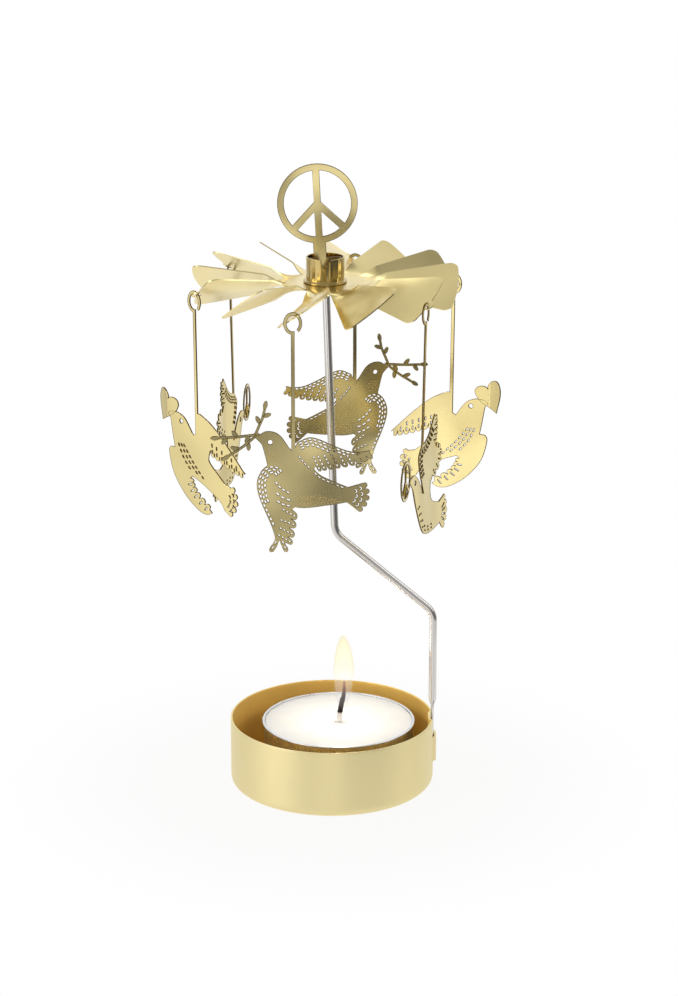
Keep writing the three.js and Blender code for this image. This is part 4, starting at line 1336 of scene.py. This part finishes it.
def make_shell():
    inside = TEALIGHT_RADIUS - FOIL
    top = TEALIGHT_HEIGHT
    profile = [
        (0, 0),
        (TEALIGHT_RADIUS - SHELL_FLOOR_MARGIN, 0),
        *arc(TEALIGHT_RADIUS - SHELL_CORNER, SHELL_CORNER, SHELL_CORNER, -90, 0, 5),
        (TEALIGHT_RADIUS, top - BEAD),
        *arc(TEALIGHT_RADIUS + BEAD / 2, top - BEAD / 2, BEAD / 2, -90, 90, 8),
        *arc(inside + FOIL / 2, top - FOIL / 2, FOIL / 2, 90, 180, 4),
        (inside, INNER_CORNER_TOP),
        (inside - INNER_CORNER, FOIL),
        (0, FOIL),
    ]
    bm = turn(profile, 192)
    move(bm, (TEALIGHT_X, 0, TEALIGHT_BASE))
    make_piece("foil_shell", bm, [pressed_foil], "tealight", "foil", "tealight_shell", sharp=40)


def make_wax():
    side = TEALIGHT_RADIUS - FOIL - WAX_GAP
    floor = FOIL + WAX_GAP
    surface = []
    for radius in rows(side, WICK_HOLE, 23):
        meniscus = MENISCUS * math.exp(-(side - radius) / MENISCUS_REACH)
        climb = CLIMB * math.exp(-(radius - WICK_HOLE) / CLIMB_REACH)
        dish = WAX_DISH * smooth_step(side - radius, 0, side)
        surface.append((radius, WAX_TOP - WAX_GAP - dish + meniscus + climb))
    profile = [
        (HOLDER_RADIUS, floor),
        (side - WAX_CORNER, floor),
        (side, floor + WAX_CORNER),
        *surface,
        (WICK_HOLE, SLEEVE_TOP),
        (SLEEVE_RADIUS, SLEEVE_TOP),
        (SLEEVE_RADIUS, HOLDER_TOP),
        (HOLDER_RADIUS, HOLDER_TOP),
        (HOLDER_RADIUS, floor),
    ]
    bm = turn(profile, 160)
    move(bm, (TEALIGHT_X, 0, TEALIGHT_BASE))
    make_piece("wax_block", bm, [white_wax], "tealight", "wax", "tealight_wax", sharp=50)


make_shell()
make_wax()

# %% Wick
WICK_RADIUS = 0.68
WICK_RISE = 7.3
WICK_LEAN = 1.3
WICK_STEPS = 14
WICK_TIP = 0.55
WICK_SWAY = 0.12
SWAY_RATE = 9
STRAIGHT_LEAN = 0.55
LUMP = 0.1
LUMP_RATE = 2.4
NECK_DEPTH = 0.4
EMBER_STEPS = 8
EMBER_STEP = 0.6
EMBER_RADIUS = WICK_RADIUS * 0.8
EMBER_TIP = 0.5
EMBER_TAPER = 0.02
EMBER_BACK = 0.1
EMBER_SUNK = 1
EMBER_LEAN = 0.1
EMBER_CURVE = 0.008


def make_braid(name, foot, radius, sides, steps, *nodes):
    bm = bmesh.new()
    bmesh.ops.create_circle(bm, segments=sides, radius=radius, matrix=Matrix.Translation(foot))
    ring = list(bm.edges)
    bmesh.ops.edgeloop_fill(bm, edges=ring)
    place = foot
    for goal, girth in steps:
        ring = pull(bm, ring, goal - place, (girth, girth, 1), goal)
        place = goal
    bmesh.ops.edgeloop_fill(bm, edges=ring)
    bmesh.ops.recalc_face_normals(bm, faces=bm.faces)
    make_piece(name, bm, [black_wick], "tealight", "wick", *nodes, sharp=60)


def make_wick():
    foot = Vector((TEALIGHT_X, 0, TEALIGHT_BASE + FOIL + WAX_GAP))
    neck = Vector((TEALIGHT_X, 0, TEALIGHT_BASE + WAX_TOP - NECK_DEPTH))
    steps = [(neck, 1)]
    for i in range(1, WICK_STEPS + 1):
        share = i / WICK_STEPS
        lean = WICK_LEAN * (STRAIGHT_LEAN * share + (1 - STRAIGHT_LEAN) * share**2)
        goal = neck + Vector((lean, WICK_SWAY * math.sin(share * SWAY_RATE), share * WICK_RISE))
        steps.append((goal, 1 + LUMP * math.sin(i * LUMP_RATE) if i < WICK_STEPS else WICK_TIP))
    make_braid("charred_wick", foot, WICK_RADIUS, 20, steps, "wick")


def make_ember():
    height = TEALIGHT_BASE + WAX_TOP + WICK_RISE - EMBER_SUNK
    foot = Vector((TEALIGHT_X + WICK_LEAN - EMBER_BACK, 0, height))
    steps = []
    for i in range(1, EMBER_STEPS + 1):
        goal = foot + Vector((EMBER_LEAN * i - EMBER_CURVE * i * i, 0, EMBER_STEP * i))
        steps.append((goal, 1 - EMBER_TAPER * i if i < EMBER_STEPS else EMBER_TIP))
    make_braid("wick_ember", foot, EMBER_RADIUS, 16, steps)


make_wick()
make_ember()
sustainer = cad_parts["wick_sustainer"]
sustainer.data.materials.clear()
sustainer.data.materials.append(tin_plate)
print("wick holder keeps its solid, in", tin_plate.name)

# %% [markdown]
# ## The flame
# A candle flame has a pale core and a thin warm edge, and its foot, round the wick, is almost clear. It is
# made of three drops, one in another, each turned from the same teardrop line, so that the edge fades in
# steps from every side without a trick that follows the camera.

# %% Flame
FLAME_FOOT = 19
FLAME_TOP = 40.2
FLAME_RADIUS = 2.9
FLAME_X = TEALIGHT_X + WICK_LEAN * 0.7
FLAME_BEND = 0.5
FLAME_BEND_RATE = 2.6
FLAME_FOOT_POWER = 0.5
FLAME_TIP_POWER = 0.58
FLAME_COVER_ENDS = (0.06, 0.8)
FLAME_COVER = ((0.42, 0.16), (0.6, 1))

# Piece, finish, edge, core, opacity, strength, then its size and its gaps at the foot and the top
FLAME_DROPS = (
    ("flame_edge", "flame_veil", "#F6E7A0", "#FBF0BC", 0.3, 1.0, 1, 0, 0),
    ("flame_body", "flame_glow", "#FDF5CC", "#FFFEF2", 0.75, 1.12, 0.82, 0.8, 1.2),
    ("flame_core", "flame_heart", "#FFFDEE", "#FFFFFF", 0.95, 1.15, 0.6, 8.6, 2.2),
)


# Burning gas is seen through, and only its own light shows, palest where it is thickest
def flame_material(name, edge_colour, core_colour, opacity, strength):
    material, tree, shader, place = new_material(name)
    height = add(tree, "ShaderNodeSeparateXYZ", {"Vector": place}).outputs["Z"]
    rise = {"Value": height, "From Min": FLAME_FOOT * MM, "From Max": FLAME_TOP * MM}
    climb = add(tree, "ShaderNodeMapRange", rise)
    glow = add(tree, "ShaderNodeValToRGB", {"Fac": climb})
    glow.color_ramp.elements[0].color = linear("#C8C2D6")
    glow.color_ramp.elements[1].color = linear(edge_colour)
    glow.color_ramp.elements.new(0.5).color = linear(core_colour)
    veil = add(tree, "ShaderNodeValToRGB", {"Fac": climb})
    for element, cover in zip(veil.color_ramp.elements, FLAME_COVER_ENDS):
        element.color = (cover * opacity,) * 3 + (1,)
    for share, cover in FLAME_COVER:
        veil.color_ramp.elements.new(share).color = (cover * opacity,) * 3 + (1,)
    finish = {
        "Emission Color": glow,
        "Emission Strength": strength,
        "Alpha": veil,
        "Base Color": BLACK,
        "Specular IOR Level": 0.0,
    }
    connect(tree, shader, finish)
    return material


def make_flame(name, material, size, foot, top):
    profile = []
    for share in rows(0, 1, 32):
        girth = 2 * share**FLAME_FOOT_POWER * (1 - share) ** FLAME_TIP_POWER
        profile.append((FLAME_RADIUS * size * girth, foot + (top - foot) * share))
    bm = turn(profile, 32)
    for vert in bm.verts:
        rise = (vert.co.z - FLAME_FOOT) / (FLAME_TOP - FLAME_FOOT)
        vert.co.x += FLAME_X + FLAME_BEND * math.sin(rise * FLAME_BEND_RATE)
    flame = make_piece(name, bm, [material], "tealight", "wick", sharp=80)
    flame.visible_shadow = False


for name, finish, edge, core, opacity, strength, size, foot_gap, top_gap in FLAME_DROPS:
    material = flame_material(finish, edge, core, opacity, strength)
    make_flame(name, material, size, FLAME_FOOT + foot_gap, FLAME_TOP - top_gap)

# %% [markdown]
# ## Floor
# The floor is a plain pale disc. It is white to the camera, fading from its own shaded white near the cup,
# so that the faint shadow stays, to plain white farther out, where it meets the white background.

# %% Floor
FLOOR_RADIUS = 170
FLOOR_GAP = 0.05
FADE_START = 30
FADE_END = 100
FADE_LEAST = 0.9


def background_rays(tree):
    rays = add(tree, "ShaderNodeLightPath").outputs
    direct = {0: rays["Is Camera Ray"], 1: rays["Is Glossy Ray"]}
    shown = add(tree, "ShaderNodeMath", direct, operation="MAXIMUM")
    through = {0: shown, 1: rays["Is Transmission Ray"]}
    return add(tree, "ShaderNodeMath", through, operation="MAXIMUM")


# Matt painted board has no sheen, so only the shadow shows on it
def white_board():
    material, tree, shader, place = new_material("matt_white_board")
    connect(tree, shader, {"Base Color": linear("#F2F1EE"), "Roughness": 0.9})
    reach = add(tree, "ShaderNodeVectorMath", {0: place}, operation="LENGTH").outputs["Value"]
    far = {"Value": reach, "From Min": FADE_START * MM, "From Max": FADE_END * MM, "To Min": FADE_LEAST}
    fade = add(tree, "ShaderNodeMapRange", far, interpolation_type="SMOOTHSTEP")
    seen = add(tree, "ShaderNodeMath", {0: fade, 1: background_rays(tree)}, operation="MULTIPLY")
    white = add(tree, "ShaderNodeEmission", {"Color": WHITE, "Strength": 1.0})
    blend = add(tree, "ShaderNodeMixShader", {0: seen, 1: shader, 2: white})
    connect(tree, tree.nodes["Material Output"], {"Surface": blend})
    return material


def make_floor():
    bm = bmesh.new()
    bmesh.ops.create_circle(bm, cap_ends=True, segments=96, radius=FLOOR_RADIUS * MM)
    move(bm, (0, 0, -FLOOR_GAP * MM))
    floor = link_mesh("floor", bm)
    floor.data.materials.append(white_board())
    print("floor radius in mm:", FLOOR_RADIUS)


make_floor()

# %% [markdown]
# ## The room
# Metal shows its surroundings, so the room matters more than the lamps. Matt surfaces get plain even light.
# Glossy rays see the room: its white backdrop and bright left side, its greyer camera side, and a few cards
# in the directions that single pieces mirror. The camera sees plain white all round.

# %% Room
ROOM_LEVEL = 0.5

# Name, direction, how close to it the change starts and is full, as cosines, and the change of level
ROOM_SIDES = (
    ("left wall", (-0.9, -0.35, -0.2), 0.62, 0.97, 0.5),
    ("backdrop", (-0.1, 0.99, -0.05), 0.58, 0.85, 0.5),
    ("window", (0.55, 0.55, 0.64), 0.75, 0.97, 0.28),
    ("ceiling", (-0.3, 0.1, 0.95), 0.7, 1.0, 0.18),
    ("lamp boom", (0.3, 0.16, 0.94), 0.92, 0.985, -0.32),
    ("front card", (0, -1, 0.04), 0.945, 0.985, 1.0),
    ("camera side", (0.3, -0.9, -0.3), 0.84, 1.0, -0.32),
    ("left card", (-0.74, -0.6, -0.25), 0.92, 0.99, 0.4),
    ("back card", (0.75, 0.6, -0.29), 0.984, 0.998, 0.5),
    ("right side", (0.9, -0.4, -0.2), 0.75, 0.97, -0.34),
)


def make_room():
    world = bpy.data.worlds.new("studio_room")
    world.use_nodes = True
    tree = world.node_tree
    direction = add(tree, "ShaderNodeTexCoord").outputs["Generated"]
    level = ROOM_LEVEL
    for name, towards, edge, middle, change in ROOM_SIDES:
        both = {0: direction, 1: Vector(towards).normalized()}
        facing = add(tree, "ShaderNodeVectorMath", both, operation="DOT_PRODUCT").outputs["Value"]
        lobe = {"Value": facing, "From Min": edge, "From Max": middle, "To Max": change}
        side = add(tree, "ShaderNodeMapRange", lobe, interpolation_type="SMOOTHSTEP", label=name)
        level = add(tree, "ShaderNodeMath", {0: side, 1: level}, operation="ADD")
    rays = add(tree, "ShaderNodeLightPath").outputs
    room = {"Factor": rays["Is Glossy Ray"], "A": ROOM_LEVEL, "B": level}
    mirrored = add(tree, "ShaderNodeMix", room)
    clear = {0: rays["Is Camera Ray"], 1: rays["Is Transmission Ray"]}
    white = add(tree, "ShaderNodeMath", clear, operation="MAXIMUM")
    seen = add(tree, "ShaderNodeMath", {0: mirrored, 1: white}, operation="MAXIMUM")
    connect(tree, tree.nodes["Background"], {"Color": WHITE, "Strength": seen})
    scene.world = world


make_room()
print("room sides:", [side[0] for side in ROOM_SIDES])

# %% [markdown]
# ## Lamps
# Three softboxes, placed in metres, give the matt wax and the floor their soft light and the brass its wide
# highlights. A small warm lamp stands in the flame, so that the flame lights the wax and the inside of the
# cup.

# %% Lamps
LAMP_AIM = Vector((0, 0, 0.08))
CANDLE_HEIGHT = 30
CANDLE_RADIUS = 2.2
CANDLE_POWER = 0.009


def softbox(name, place, width, height, power):
    data = bpy.data.lights.new(name, "AREA")
    data.shape = "RECTANGLE"
    data.size, data.size_y = width, height
    data.energy = power
    lamp = bpy.data.objects.new(name, data)
    lamp.location = place
    lamp.rotation_euler = (LAMP_AIM - Vector(place)).to_track_quat("-Z", "Y").to_euler()
    scene.collection.objects.link(lamp)


softbox("left_softbox", (-0.75, -0.35, 0.55), 0.5, 0.6, 2.0)
softbox("right_softbox", (0.8, -0.1, 0.5), 0.2, 0.6, 0.9)
softbox("top_softbox", (-0.2, 0.7, 0.9), 0.5, 0.4, 1.0)

candle = bpy.data.lights.new("candle_light", "POINT")
candle.energy = CANDLE_POWER
candle.color = linear("#FFF1DE")[:3]
candle.shadow_soft_size = CANDLE_RADIUS * MM
candle_lamp = bpy.data.objects.new("candle_light", candle)
candle_lamp.location = (FLAME_X * MM, 0, CANDLE_HEIGHT * MM)
scene.collection.objects.link(candle_lamp)
